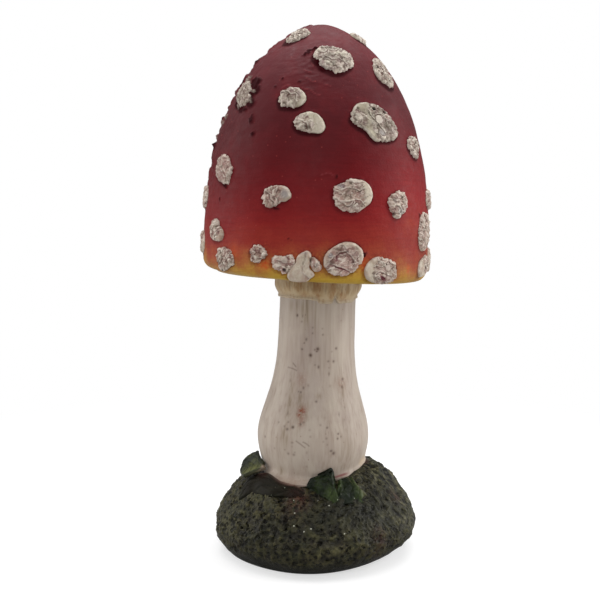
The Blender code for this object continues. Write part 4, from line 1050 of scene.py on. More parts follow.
def mound_top(azimuth, radius):
    """Height of the mound's surface at an azimuth and a radius of its plan."""
    share = np.minimum(radius / mound_reach(azimuth), 1)
    dome = PAD_PROUD + (MOUND_HEIGHT - PAD_PROUD) * (1 - share ** 2) ** (1 / MOUND_ROUNDNESS)
    lump = MOUND_LUMP * np.sin(4 * azimuth + 4.4) * np.sin(math.pi * share)
    lump = lump + MOUND_LUMP * np.sin(9 * azimuth + 5 * share) * np.sin(math.pi * share) / 2
    turn = np.degrees(wrapped(azimuth - math.radians(HUMP_AZIMUTH)))
    hump = HUMP_HEIGHT * bell(turn / HUMP_SPREAD, (radius - HUMP_RADIUS) / HUMP_WIDTH)
    return dome + lump + hump


# Painted glints on the mound, white specks for grains that catch the light: azimuth, radius in millimetres
GLINTS = (
    (-32.9, 18.7), (-16.2, 19.9), (-13.5, 22.7), (-12.6, 24.9), (-10.6, 18.4), (-2.6, 25.2), (16.0, 26.0),
    (18.9, 16.1), (25.1, 18.2), (-6.5, 25.6), (-39.6, 18.4), (9.7, 20.8), (2.1, 19.4), (31.1, 20.4),
    (-21.8, 19.5), (110, 20.0), (160, 24.0), (-140, 22.0), (-100, 25.0),
)

# Lighter and darker places of the mound: azimuth, radius, half widths in degrees and millimetres, strength
MOODS = (
    (-42, 20.4, 12, 2.6, 0.5), (-54, 23.4, 8, 2.2, 0.5), (-62, 26.5, 10, 2.0, 0.4),
    (72, 20.6, 12, 3.0, 0.5), (66, 25.0, 8, 2.0, 0.4), (-2, 23.5, 13, 3.0, -0.7), (20, 21.5, 9, 3.5, -0.9),
    (32, 24.0, 8, 2.5, -0.9), (-16, 27.0, 14, 1.6, -0.4), (11, 19.6, 8, 2.0, -0.8),
    (42, 23.0, 6, 2.0, -0.7), (-28, 25.0, 7, 1.5, -0.4), (-46, 23.5, 6, 2.0, -0.4),
    (51, 20.5, 8, 1.8, -0.6), (52, 23.9, 8, 2.0, -0.6), (-39, 26.6, 8, 1.5, -0.6), (2, 27.2, 8, 1.4, 0.5),
    (22, 20.0, 7, 2.0, -0.8), (-21, 21.3, 7, 2.0, -0.4), (7, 23.7, 8, 2.5, -0.5),
    (-18, 24.0, 6, 2.0, -0.3), (120, 22.0, 14, 3.0, 0.4), (160, 24.0, 12, 3.0, -0.5),
    (-140, 22.0, 14, 3.0, 0.4), (-110, 25.0, 12, 2.5, -0.4),
)

# Red-brown soil on the mound, laid out as the places above
SOIL = ((-14, 19.5, 8, 3.0, 1.0), (64.7, 23.6, 5, 1.2, 0.6), (37.7, 27.0, 4, 1.0, 0.5))

MOUND_COLUMNS = 760
FOOT_RISE, FOOT_ROWS, TOP_RISE, TOP_ROWS = 12, 16, 69, 150  # rows of points by their rise in degrees
GLINT_RADIUS = 0.19


def mound_places(turned, radius, table):
    """For each place of a table, how strongly it covers each point of the mound."""
    for turn, middle, wide, deep, strength in table:
        yield strength * bell((turned - turn) / wide, (radius - middle) / deep)


def make_mound(material):
    turns = full_turn(MOUND_COLUMNS)
    rises = np.radians(np.concatenate([np.linspace(0, FOOT_RISE, FOOT_ROWS)[:-1],
                                       np.linspace(FOOT_RISE, TOP_RISE, TOP_ROWS)]))
    azimuth, rise = np.meshgrid(turns, rises)
    turned = np.degrees(wrapped(azimuth))
    radius = mound_reach(azimuth) * np.cos(rise)
    height = mound_top(azimuth, radius)
    low = np.maximum(0, 1 - height / MOUND_UNDERCUT_HEIGHT)
    undercut = MOUND_UNDERCUT * (1 + MOUND_UNDERCUT_SKEW * np.sin(azimuth))
    plain = polar(radius - undercut * low ** 2, azimuth, height)
    out = unit(np.cross(np.gradient(plain, axis=1), np.gradient(plain, axis=0)))

    # Where the moss is bare, smooth or grassy, and its holes, pockets, blades and knobs
    rim = smooth(height + 0.8 * rough(plain, 6, 81), 5.0, 2.0)
    even = smooth(rough(plain, 7, 83, 2), -0.1, 0.35)
    grass = bell(wrapped(azimuth - math.radians(HUMP_AZIMUTH)) / math.radians(46)) * smooth(height, 6, 14)
    near, kept = cells(warped(plain, 1.6, 0.9, 85), 1.6, 7)
    leftward = smooth(-np.sin(azimuth), -0.2, 0.5)
    pitted = smooth(kept, -0.6, 0.2) * (0.4 + 0.6 * leftward)
    hole = smooth(near, 0.36, 0.16) * pitted
    brim = bell((near - 0.44) / 0.09) * pitted
    big_near, big_tone = cells(warped(plain, 2.4, 1.1, 87), 3.1, 5)
    pocket = smooth(big_near, 0.5, 0.12) * smooth(big_tone, 0.1, 0.6)
    strand = np.stack([azimuth * 22 + height * 0.5, radius * 0.3, height * 0.5], axis=-1)
    blade = np.abs(rough(warped(strand, 3, 0.6, 91), 1.25, 93, 2))
    knob_near, _ = cells(plain, 3.0, 9)
    knobby = bell((np.degrees(azimuth) - HUMP_AZIMUTH) / 40) * smooth(height, 15, 18)
    spongy = (1 - rim * 0.9) * (1 - 0.8 * grass) * (1 - 0.35 * even)
    crumb = rough(plain, 0.9, 99, 3)
    drooping = warped(plain, 2.0, 0.6, 105) @ np.array(((1, 0, 0), (0, 1, 0), (-0.5, 0, 0.45)))
    fibre = rough(drooping, 0.8, 107, 2)
    clump = rough(warped(plain, 2.0, 0.5, 86), 1.7, 88, 2)

    # The relief dies out next to the stem and at the foot
    stem_gap = np.hypot(plain[..., 0] - LEAN_FOOT_X - height * math.tan(LEAN), plain[..., 1])
    stem_gap -= stem_radius(height)
    open_ground = smooth(stem_gap, 1.0, 4.0)
    lift = 0.5 * rough(plain, 6.5, 95) + 0.34 * rough(plain, 2.6, 97, 2) * (1 - 0.7 * rim)
    lift += spongy * (0.14 * crumb + 0.2 * fibre + 0.3 * clump - 0.5 * hole + 0.14 * brim - 0.45 * pocket)
    lift += grass * (0.4 - 0.8 * blade + 0.4 * rough(plain, 2.4, 98)) + knobby * 1.7 * (0.5 - knob_near)
    lift = lift * open_ground - 0.2 * (1 - open_ground)
    outer = plain + out * (lift * smooth(height, PAD_PROUD, 2.2))[..., None]
    outer[..., 2] = np.maximum(outer[..., 2], PAD_PROUD)
    inner = [polar(PAD_RADIUS + 0.3, turns, np.full(MOUND_COLUMNS, level)) for level in (1.7, PAD_PROUD)]

    soil = smooth(stem_gap + 0.9 * rough(plain, 3, 101), 2.2, 0.2)
    soil *= smooth(rough(plain, 9, 103) + 0.35 * np.cos(azimuth + 0.45), -0.1, 0.4)
    for place in mound_places(turned, radius, SOIL):
        soil = np.maximum(soil, place * smooth(crumb, -0.5, 0.1))
    # Painted glints at the grains
    painted_glint = np.zeros_like(azimuth)
    for spot_turn, spot_radius in GLINTS:
        turn = math.radians(spot_turn)
        away = np.linalg.norm(plain - polar(spot_radius, turn, mound_top(turn, spot_radius)), axis=-1)
        painted_glint = np.maximum(painted_glint, bell(away / GLINT_RADIUS))
    # Painted shade in the holes, pockets and gaps between blades
    hollow_shade = spongy * (0.6 * hole + 0.7 * pocket + 0.6 * smooth(-clump, 0.12, 0.45))
    hollow_shade += grass * smooth(blade, 0.12, 0.4)
    # Lighter on crests and round holes, dark low down: drybrushed paint with painted highlight and shade
    crest_paint_and_light = 0.38 + 0.35 * crumb + 0.45 * fibre + 0.5 * clump + 0.45 * spongy * brim

    # Each value, and what it is on the underside
    marks = {
        "mood": (sum(mound_places(turned, radius, MOODS)), 0.0),
        "hollow_shade": (np.clip(hollow_shade, 0, 1), 0.5),
        "crest_paint_and_light": (np.clip(crest_paint_and_light, 0, 1), 0.3),
        "rim": (rim, 1.0),
        "grass": (grass, 0.0),
        "soil": (soil, 0.0),
        "painted_glint": (painted_glint, 0.0),
    }
    marks = {key: np.concatenate([np.full((len(inner), MOUND_COLUMNS), under), value])
             for key, (value, under) in marks.items()}
    piece("moss", np.concatenate([np.stack(inner), outer]), material, ["base_mound"], marks)


PAD_COLUMNS, PAD_RINGS = 360, 60

# The pad's edge from its top down: millimetres inside its radius, height
PAD_EDGE = ((0.6, PAD_THICKNESS), (0, PAD_THICKNESS), (0, 0.3), (0.08, 0.1), (0.3, 0.0))


def make_pad(material):
    azimuth = full_turn(PAD_COLUMNS)
    level = np.zeros(PAD_COLUMNS)
    rows = [polar(PAD_RADIUS - inset, azimuth, level + height) for inset, height in PAD_EDGE]
    for radius in np.linspace(PAD_RADIUS - 0.8, 0.4, PAD_RINGS):
        flat = polar(radius, azimuth, level)
        rows.append(flat + np.stack([level, level, 0.05 + 0.05 * rough(flat, 0.7, 111)], axis=-1))
    piece("felt_pad", np.stack(rows), material, ["base_pad"], last_pole=True)


# Shapes of the leaves, as in the solids: rows of points from the front edge back, each from left to
# right; a point is an azimuth, then millimetres beyond the stem's bulb and over the mound
LOBE = (
    ((-69.0, 5.2, 3.6), (-65.9, 3.8, 3.6), (-60.6, 2.5, 3.5), (-55.5, 1.2, 3.5)),
    ((-78.2, 5.2, 3.4), (-74.9, 3.0, 3.3), (-74.0, 1.3, 3.1), (-69.0, 0.0, 4.2)),
    ((-85.5, 5.2, 3.2), (-84.5, 3.0, 3.4), (-84.0, 1.3, 3.8), (-80.0, 0.0, 4.8)),
    ((-89.0, 4.8, 3.6), (-91.0, 3.5, 4.4), (-92.0, 1.8, 4.8), (-90.0, 0.2, 5.2)),
)
FLAP = (
    ((-62.4, 7.6, 1.2), (-51.8, 5.5, 1.2), (-30.9, 4.5, 1.2), (-12.0, 4.0, 1.2)),
    ((-66.5, 6.7, 1.3), (-54.0, 3.7, 1.3), (-29.8, 3.6, 1.3), (-10.5, 3.4, 1.2)),
    ((-71.0, 5.5, 1.3), (-57.0, 1.9, 1.3), (-29.9, 2.5, 1.3), (-9.5, 2.9, 1.2)),
    ((-75.3, 4.6, 1.2), (-63.0, 0.6, 1.2), (-30.6, 1.3, 1.2), (-8.5, 2.3, 1.2)),
)
FOLD = (
    ((-5.5, 1.1, 1.3), (4.4, 2.8, 1.3), (11.1, 4.5, 1.3), (16.8, 5.7, 1.3)),
    ((-6.9, 1.1, 1.6), (3.3, 2.0, 1.8), (11.3, 2.9, 2.0), (18.2, 3.8, 2.2)),
    ((-7.9, 0.9, 1.8), (2.2, 1.1, 2.4), (11.4, 1.1, 3.0), (18.7, 1.9, 3.4)),
    ((-8.1, 0.5, 1.9), (2.0, -0.2, 2.6), (12.5, -0.7, 3.9), (20.3, 0.2, 4.8)),
)
RIDGE = (
    ((17.0, 5.4, 1.3), (24.0, 6.0, 1.2), (32.2, 6.4, 1.3), (40.2, 6.4, 1.6)),
    ((17.6, 3.9, 1.6), (24.4, 4.1, 1.2), (32.1, 4.7, 1.4), (38.3, 5.3, 2.0)),
    ((19.0, 2.6, 2.0), (25.4, 2.4, 1.3), (32.0, 2.9, 1.5), (36.0, 3.8, 2.4)),
    ((20.8, 1.3, 2.4), (26.2, 1.1, 1.8), (31.2, 1.5, 1.8), (34.0, 2.3, 2.6)),
)
LEAF_THICKNESS = 0.9
LEAF_COLUMNS, LEAF_ROWS = 49, 41
LEAF_LENGTH, LEAF_DEPTH = 9, 8  # a leaf's usual size, for what is drawn on it in millimetres

# Each leaf: its solid's name, its shape, how far around the stem it is moved, how uneven it is, then
# patches of light green, which are painted highlights, then of maroon and of cream, as (share along,
# share back, their widths, strength)
LEAVES = (
    ("leaf_left", LOBE, 0, 0.14, ((0.42, 0.2, 0.5, 0.26, 1.0), (0.85, 0.5, 0.25, 0.2, 0.2)), (),
     ((0.97, 0.03, 0.1, 0.08, 0.9),)),
    ("leaf_soil_left", FLAP, 0, 0.3, ((0.0, 0.5, 0.05, 0.6, 0.6),),
     ((0.36, 0.95, 0.1, 0.3, 0.7), (0.8, 0.92, 0.25, 0.16, 0.7), (0.93, 0.3, 0.12, 0.4, 0.4)),
     ((0.34, 1.0, 0.06, 0.08, 1.0), (0.85, 1.0, 0.25, 0.1, 0.8))),
    ("leaf_front", FOLD, 0, 0.34, ((0.78, 0.14, 0.3, 0.2, 0.8), (0.97, 0.5, 0.06, 0.5, 0.5)), (), ()),
    ("leaf_front_right", RIDGE, 0, 0.34, ((0.95, 0.5, 0.22, 0.8, 1.5), (0.08, 0.75, 0.18, 0.3, 0.9)), (),
     ((0.95, 0.5, 0.12, 0.8, 0.2),)),
    ("leaf_back_right", FOLD, 137, 0.34, ((0.6, 0.3, 0.3, 0.3, 0.6),), (), ()),
    ("leaf_back_left", FOLD, -160, 0.34, ((0.5, 0.3, 0.3, 0.3, 0.6),), (), ()),
)


def blend(values, share):
    """Values at shares along a smooth curve through evenly spaced values."""
    place = np.clip(share, 0, 1) * (len(values) - 1)
    index = np.minimum(place.astype(int), len(values) - 2)
    step = (place - index).reshape((-1,) + (1,) * (values.ndim - 1))
    padded = np.concatenate([[2 * values[0] - values[1]], values, [2 * values[-1] - values[-2]]])
    before, first, second, after = [padded[index + shift] for shift in range(4)]
    bend = (2 * before - 5 * first + 4 * second - after) * step ** 2
    bend = bend + (3 * first - 3 * second + after - before) * step ** 3
    return first + 0.5 * ((second - before) * step + bend)


def ground_under(points):
    azimuth = np.arctan2(points[..., 0], -points[..., 1])
    return mound_top(azimuth, np.hypot(points[..., 0], points[..., 1]))


def settle(points, margin):
    """Move a leaf's points clear of the stem's foot and of the mound."""
    for _ in range(4):
        axis_x = LEAN_FOOT_X + math.tan(LEAN) * points[..., 2]
        aside = np.stack([points[..., 0] - axis_x, points[..., 1]], axis=-1)
        away = np.linalg.norm(aside, axis=-1)
        push = np.maximum(1, (stem_radius(points[..., 2]) + margin) / away)
        points[..., 0] = axis_x + aside[..., 0] * push
        points[..., 1] = aside[..., 1] * push
        points[..., 2] = np.maximum(points[..., 2], ground_under(points) + margin)
    return points


def make_leaf(leaf, material, number):
    name, shape, move, uneven, *patches = leaf
    along, back = np.linspace(0, 1, LEAF_COLUMNS), np.linspace(0, 1, LEAF_ROWS)
    rows = blend(np.array(shape).transpose(1, 0, 2), along)
    azimuth, beyond, rise = np.moveaxis(blend(rows.transpose(1, 0, 2), back), -1, 0)
    along, back = np.meshgrid(along, back)
    flat = np.stack([along * 9, back * 9, 0 * back + 5 * number], axis=-1)
    side_gap = np.minimum(along, 1 - along) * LEAF_LENGTH
    edge = np.minimum(side_gap, np.minimum(back, 1 - back) * LEAF_DEPTH)

    # The middle surface, cupped where it is the lobe, and else with its front edge sunk into the moss
    if shape is LOBE:
        rise = rise + 0.8 * np.sin(math.pi * along) * back
        beyond = beyond + 0.6 * np.sin(math.pi * along) * back
    azimuth = azimuth + 0.9 * rough(flat, 2.2, 131)
    beyond = beyond + 0.16 * rough(flat, 2.0, 133)
    turn = np.radians(azimuth + move)
    points = polar(BULB_RADIUS + beyond, turn, 0.0)
    points[..., 2] = mound_top(turn, BULB_RADIUS + beyond) + rise
    points = settle(points, 0.3 + LEAF_THICKNESS)
    if shape is not LOBE:
        ground = ground_under(points) - 0.15
        fade = smooth(back * LEAF_DEPTH + 1.1 * rough(flat, 1.8, 137, 2), 0.1, 2.2)
        fade *= 0.25 + 0.75 * smooth(side_gap + 0.4 * rough(flat, 1.3, 139), 0, 1.3)
        points[..., 2] = ground + (points[..., 2] - ground) * fade

    # Its upper face with veins and a turned edge, its lower face, and the rounded sides between them
    normal = unit(np.cross(np.gradient(points, axis=1), np.gradient(points, axis=0)))
    vein = np.abs(np.sin((along * 3.2 + np.abs(back - 0.5) * 2.2 + number) * math.pi))
    lift = uneven * rough(flat, 1.5, 135, 3) - 0.16 * smooth(vein, 0.3, 0) * smooth(edge, 0, 1)
    lift += 0.22 * bell(edge / 0.5) - 0.25 * bell(edge / 0.12)
    upper = points + normal * lift[..., None]
    lower = settle(points - normal * LEAF_THICKNESS, -0.35)
    rounded = (points - normal * 0.4 * LEAF_THICKNESS)[:, [0, -1]]
    sideways = unit(np.gradient(points, axis=1)[:, [0, -1]])
    left, right = rounded[:, :1] - 0.3 * sideways[:, :1], rounded[:, 1:] + 0.3 * sideways[:, 1:]
    grid = np.concatenate([upper, right, lower[:, ::-1], left], axis=1)

    marks = {"vein": smooth(vein, 0.25, 0), "edge": bell(edge / 0.35)}
    for key, table in zip(("light", "warm", "cream"), patches):
        marks[key] = np.zeros_like(along)
        for share_along, share_back, wide, deep, strength in table:
            place = strength * bell((along - share_along) / wide, (back - share_back) / deep)
            marks[key] = np.maximum(marks[key], place)
    marks = {key: np.concatenate([value, value[:, -1:], value[:, ::-1], value[:, :1]], axis=1)
             for key, value in marks.items()}
    piece(name.replace("leaf", "frond"), grid, material, [name], marks, True, True)


# Materials

# Colours of the cap by its height share
CAP_COLOURS = (
    (0.0, (180, 146, 54)), (0.028, (174, 132, 54)), (0.062, (160, 100, 52)), (0.10, (148, 66, 42)),
    (0.14, (136, 43, 34)), (0.21, (123, 27, 27)), (0.31, (104, 18, 22)), (0.42, (88, 15, 20)),
    (0.56, (76, 18, 23)), (0.75, (82, 28, 33)), (0.93, (98, 42, 47)),
)


def cap_material():
    paints = Paints("crimson to ochre paint", 0.5, 0.09)
    fine = paints.noise(0.55, 4, 0.6)
    brushed = paints.noise(1.1, 3, 0.55, paints.stretched(0.16, 0.16, 1.6))
    blot = paints.noise(7, 3, 0.55)
    wander = paints.sum(paints.span(fine, 0.3, 0.7, -0.008, 0.008),
                        paints.span(blot, 0.3, 0.7, -0.02, 0.02))
    paints.colour = paints.ramp(paints.sum(paints.mark("rise"), wander), CAP_COLOURS)
    paints.lay(paints.mark("rosy", 0.42), paint(140, 8, 18))
    paints.lay(paints.span(brushed, 0.4, 0.75, 0.0, 0.16), paint(60, 12, 18))
    paints.lay(paints.span(blot, 0.5, 0.75, 0.0, 0.2), paint(124, 26, 32))
    paints.lay(paints.mark("flare", paints.span(fine, 0.3, 0.6)), paint(184, 74, 30))
    paints.lay(paints.speckle(1.5, 0.06, 0.14, 0.62, 0.5), paint(150, 62, 56))
    # Darker red round the warts, part paint and part painted shade
    near = paints.mark("wart_paint_and_shade", paints.span(fine, 0.35, 0.65))
    paints.lay(paints.times(near, 0.4), paint(104, 18, 26))
    paints.lay(paints.mark("curl", 0.4), paint(142, 62, 66))
    # A painted shadow below each wart and painted shade along its edge
    paints.lay(paints.mark("painted_wart_shadow", 0.92), paint(44, 3, 8))
    paints.lay(paints.mark("dab"), paint(46, 2, 7))
    paints.lay(paints.mark("grain", paints.span(fine, 0.3, 0.55)), paint(146, 132, 122))
    relief = paints.bump(brushed, 0.06, 0.8)
    relief = paints.bump(fine, 0.07, 0.7, relief)
    gloss = paints.span(paints.noise(2.2, 3), 0.3, 0.7, 0.42, 0.58)
    gloss = paints.sum(gloss, paints.mark("dab", 0.3))
    gloss = paints.sum(gloss, paints.mark("painted_wart_shadow", 0.3))
    return paints.finish(relief, gloss)


def wart_material():
    paints = Paints("cream crust with brown wash", 0.5, 0.25)
    fine = paints.noise(0.5, 3, 0.6)
    broad = paints.noise(2.2, 3, 0.6)
    patch = paints.noise(1.3, 2, 0.5)
    plate = paints.mix(paints.mark("tone"), paint(120, 101, 87), paint(180, 165, 151))
    plate = paints.mix(paints.span(patch, 0.5, 0.66, 0, 0.5), plate, paint(156, 134, 134))
    plate = paints.mix(paints.span(patch, 0.46, 0.34, 0, 0.5), plate, paint(170, 168, 152))
    cream = paints.mix(paints.span(broad, 0.38, 0.62), paint(182, 174, 154), paint(160, 150, 129))
    cream = paints.mix(paints.span(patch, 0.5, 0.7, 0, 0.5), cream, paint(164, 145, 134))
    paints.colour = paints.mix(paints.mark("crumple"), cream, plate)
    rosy = paints.mark("blush", paints.span(broad, 0.35, 0.62, 0.15, 0.5))
    paints.lay(rosy, paint(160, 116, 104))
    paints.lay(paints.span(paints.mark("hue"), 0, 1, 0, 0.8), paint(182, 134, 132))
    paints.lay(paints.span(paints.mark("hue"), 0, -1, 0, 0.75), paint(146, 143, 146))
    # Lighter places, partly painted highlights
    paints.lay(paints.span(paints.mark("light"), 0, 1, 0, 0.75), paint(202, 193, 175))
    grime = paints.times(paints.span(fine, 0.52, 0.7), paints.mark("crumple"))
    paints.lay(paints.times(grime, 0.3), paint(104, 86, 74))
    # Darker places, partly dark paint and partly painted shade
    dark_paint_and_shade = paints.mix(paints.span(paints.mark("hue"), 0.1, 0.5), paint(70, 55, 40), paint(92, 22, 34))
    paints.lay(paints.span(paints.mark("light"), 0, -0.9), dark_paint_and_shade)
    # Painted highlights on raised edges
    paints.lay(paints.mark("lip", 0.85), paint(212, 202, 188))
    # Brown wash and painted shade in the creases
    wash_and_shade = paints.mark("crease", paints.span(fine, 0.25, 0.6, 0.55, 1.0))
    brown = paints.mix(paints.span(broad, 0.42, 0.6), paint(76, 62, 46), paint(96, 50, 52))
    paints.lay(wash_and_shade, brown)
    paints.lay(paints.mark("rind", 0.6), paint(112, 62, 58))
    # Pits painted near black: painted shade inside them
    paints.lay(paints.mark("pit"), paint(30, 20, 15))
    relief = paints.bump(fine, 0.08, 0.9)
    return paints.finish(relief)


def stem_material():
    paints = Paints("ivory paint with brown brush lines", 0.5, 0.3)
    brushed = paints.noise(0.6, 2, 0.5, paints.stretched(1, 1, 0.05))
    broad = paints.noise(2.6, 3, 0.5, paints.stretched(1, 1, 0.16))
    blot = paints.noise(5, 4, 0.6)
    fine = paints.noise(0.5, 3, 0.6)
    paints.colour = paints.mix(paints.span(broad, 0.36, 0.66), paint(176, 163, 149), paint(162, 147, 134))
    paints.lay(paints.span(blot, 0.42, 0.7, 0.0, 0.6), paint(172, 158, 146))
    paints.lay(paints.span(blot, 0.44, 0.3, 0.0, 0.4), paint(156, 139, 130))
    shade = paints.times(paints.span(brushed, 0.5, 0.75), paints.span(broad, 0.3, 0.6))
    paints.lay(paints.times(shade, 0.5), paint(130, 111, 95))
    paints.lay(paints.span(brushed, 0.42, 0.26, 0.0, 0.25), paint(184, 174, 160))
    lilac = paints.mark("lilac", paints.span(blot, 0.3, 0.6))
    paints.lay(paints.times(lilac, 0.45), paint(142, 125, 121))
    smear = paints.mark("smear", paints.span(brushed, 0.4, 0.62, 0.3, 1.0))
    paints.lay(paints.times(smear, 0.72), paint(120, 102, 76))
    stain = paints.mark("stain", paints.span(fine, 0.34, 0.54))
    paints.lay(paints.span(stain, 0.0, 1.0), paint(126, 70, 50))
    specks = paints.speckle(1.6, 0.05, 0.12, 0.66, 0.5, paints.stretched(1, 1, 0.7))
    paints.lay(specks, paint(112, 84, 68))
    paints.lay(paints.mark("pit", 0.95), paint(78, 56, 44))
    paints.lay(paints.mark("foot", paints.span(fine, 0.2, 0.6, 0.1, 0.6)), paint(132, 98, 84))
    paints.lay(paints.mark("line", 0.85), paint(112, 34, 38))
    paints.lay(paints.mark("cream", 0.7), paint(182, 160, 132))
    relief = paints.bump(brushed, 0.05, 0.8)
    relief = paints.bump(fine, 0.03, 0.6, relief)
    return paints.finish(relief)


def collar_material():
    paints = Paints("ochre and cream paint on flutes", 0.55, 0.35)
    fine = paints.noise(0.6, 3, 0.6, paints.stretched(1, 1, 0.3))
    broad = paints.noise(2.4, 3, 0.6, paints.stretched(1, 1, 0.5))
    ridge = paints.mix(paints.span(broad, 0.38, 0.62), paint(184, 163, 130), paint(170, 142, 102))
    # The flutes' grooves painted darker: painted shade
    paints.colour = paints.mix(paints.mark("recess", 0.9), ridge, paint(146, 116, 76))
    rust = paints.times(paints.span(broad, 0.5, 0.62), paints.span(fine, 0.35, 0.6))
    paints.lay(paints.times(rust, 0.55), paint(138, 90, 50))
    paints.lay(paints.span(fine, 0.62, 0.72, 0.0, 0.5), paint(100, 72, 42))
    lip = paints.mix(paints.span(fine, 0.5, 0.75), paint(182, 165, 140), paint(156, 124, 92))
    paints.lay(paints.mark("rim"), lip)
    relief = paints.bump(fine, 0.10, 0.9)
    return paints.finish(relief)


def gill_material():
    paints = Paints("ochre gill paint", 0.6, 0.35)
    fine = paints.noise(0.8, 3, 0.6)
    # Darker where the disc is recessed deepest between the gills: painted shade
    paints.colour = paints.mix(paints.mark("depth"), paint(184, 154, 96), paint(112, 78, 36))
    paints.lay(paints.span(fine, 0.5, 0.75, 0.0, 0.6), paint(140, 104, 58))
    return paints.finish(paints.bump(fine, 0.06, 0.8))


def moss_material():
    paints = Paints("olive moss paint", 0.42, 0.2)
    fine = paints.noise(0.5, 4, 0.65)
    broad = paints.noise(3.6, 3, 0.55)
    hue = paints.noise(2.6, 2, 0.5)
    # Dark in the low places and olive on the crests: drybrushed paint with painted highlight and shade
    paints.colour = paints.mix(paints.mark("crest_paint_and_light"), paint(12, 11, 5), paint(57, 53, 29))
    paints.lay(paints.span(hue, 0.5, 0.62, 0.0, 0.4), paint(33, 42, 23))
    paints.lay(paints.span(hue, 0.47, 0.37, 0.0, 0.5), paint(48, 40, 30))
    paints.lay(paints.span(broad, 0.52, 0.64, 0.0, 0.4), paint(76, 75, 48))
    paints.lay(paints.span(broad, 0.46, 0.36, 0.0, 0.4), paint(21, 23, 16))
    paints.lay(paints.span(paints.mark("mood"), 0, 1, 0, 0.6), paint(94, 93, 64))
    paints.lay(paints.mark("grass", 0.5), paint(76, 77, 53))
    lit = paints.times(paints.span(paints.mark("crest_paint_and_light"), 0.45, 0.8), paints.span(fine, 0.44, 0.58))
    paints.lay(paints.times(lit, 0.5), paint(106, 101, 66))
    # Light strands, part paint and part painted highlight, with painted shade in the gaps between them
    strand = paints.noise(0.6, 2, 0.5, paints.slanted(-42, 3.6))
    strandy = paints.mark("grass", paints.span(strand, 0.54, 0.62))
    paints.lay(paints.times(strandy, 0.75), paint(132, 127, 97))
    gappy = paints.mark("grass", paints.span(strand, 0.46, 0.38))
    paints.lay(paints.times(gappy, 0.9), paint(20, 19, 13))
    bare = paints.span(paints.sum(paints.mark("rim", 0.9), paints.mark("grass", 0.75)), 1.0, 0.0)
    small, _ = paints.dots(1.2, paints.wobbled(0.9, 0.5))
    large, _ = paints.dots(2.3, paints.wobbled(1.6, 0.9))
    # Lighter rims round the pits: drybrushed paint and painted highlight
    web = paints.times(paints.times(paints.span(small, 0.32, 0.52), paints.span(hue, 0.36, 0.5)), bare)
    paints.lay(paints.times(web, 0.26), paint(96, 90, 55))
    # Dark pits: painted shade in the dents that the bump below makes
    pits = paints.times(paints.span(small, 0.40, 0.18), paints.span(hue, 0.62, 0.46, 0.2, 1.0))
    pits = paints.times(paints.sum(pits, paints.span(large, 0.30, 0.16), "MAXIMUM"), bare)
    paints.lay(paints.times(pits, 0.75), paint(14, 13, 8))
    paints.lay(paints.span(fine, 0.56, 0.7, 0.0, 0.35), paint(22, 20, 14))
    paints.lay(paints.span(paints.mark("mood"), 0, -1, 0, 0.75), paint(22, 24, 12))
    # Near black in the hollows: painted shade
    paints.lay(paints.mark("hollow_shade", 0.9), paint(10, 9, 6))
    paints.lay(paints.span(fine, 0.3, 0.6, 0.34, 0.2), paint(15, 11, 3))
    paints.lay(paints.mark("rim", 0.9), paint(30, 29, 23))
    paints.lay(paints.mark("soil", 0.6), paint(76, 38, 34))
    # Painted glints
    paints.lay(paints.span(paints.mark("painted_glint"), 0.3, 0.7), paint(198, 198, 182))
    relief = paints.bump(fine, 0.22, 0.9)
    relief = paints.bump(paints.times(pits, -1), 0.6, 1.0, relief)
    relief = paints.bump(paints.times(strandy, 0.3), 0.5, 1.0, relief)
    return paints.finish(relief)


def leaf_material(name, dark, light, warm, cream, gloss):
    paints = Paints(name, 0.45, gloss, coat=0.3 * gloss, coat_roughness=0.15)
    fine = paints.noise(0.6, 3, 0.6)
    broad = paints.noise(2.0, 3, 0.55)
    # Lighter green in the light patches, painted highlights, and in broad spots
    pale = paints.mark("light", paints.span(fine, 0.25, 0.55, 0.5, 1.0))
    pale = paints.sum(pale, paints.span(broad, 0.5, 0.75, 0.0, 0.4))
    paints.colour = paints.mix(paints.span(pale, 0.0, 1.0), dark, light)
    paints.lay(paints.mark("vein", 0.5), paint(11, 15, 7))
    # Darker along the edges: painted shade on their rounded sides
    paints.lay(paints.mark("edge", 0.6), paint(12, 15, 8))
    warmth = paints.mark("warm", paints.span(fine, 0.3, 0.6, 0.5, 1.0))
    paints.lay(warmth, warm)
    paints.lay(paints.mark("cream"), cream)
    # Tiny pale specks: painted glints
    paints.lay(paints.speckle(1.5, 0.05, 0.09, 0.66, 0.8), paint(190, 196, 172))
    return paints.finish(paints.bump(fine, 0.10, 0.9))


def felt_material():
    paints = Paints("dark felt", 0.95, 0.2)
    fibre = paints.noise(0.35, 3, 0.7, warp=1.5)
    paints.colour = paints.mix(paints.span(fibre, 0.35, 0.7), paint(34, 34, 32), paint(58, 57, 53))
    return paints.finish(paints.bump(fibre, 0.15, 1.0))


# Studio

# Lamps: place, target, side in metres and power; then how light the world is on the object, the floor's
# own grey, what it glows with beside the object, and where in metres it fades to plain white
LAMPS = {
    "top": ((0.0, 0.10, 0.75), (0, 0, 0.08), 0.7, 5.0),
    "left": ((-0.62, 0.06, 0.28), (0, 0, 0.06), 0.6, 2.38),
    "right": ((0.62, 0.02, 0.28), (0, 0, 0.06), 0.6, 3.9),
    "front": ((-0.1, -0.9, 0.45), (0, 0, 0.06), 0.6, 3.0),
}
WHITE = (1, 1, 1, 1)
WORLD_STRENGTH = 0.30
FLOOR_SIDE, FLOOR_GREY, FLOOR_GLOW = 8, (0.5, 0.5, 0.5, 1), 0.56
FADE_START, FADE_END = 0.06, 0.20


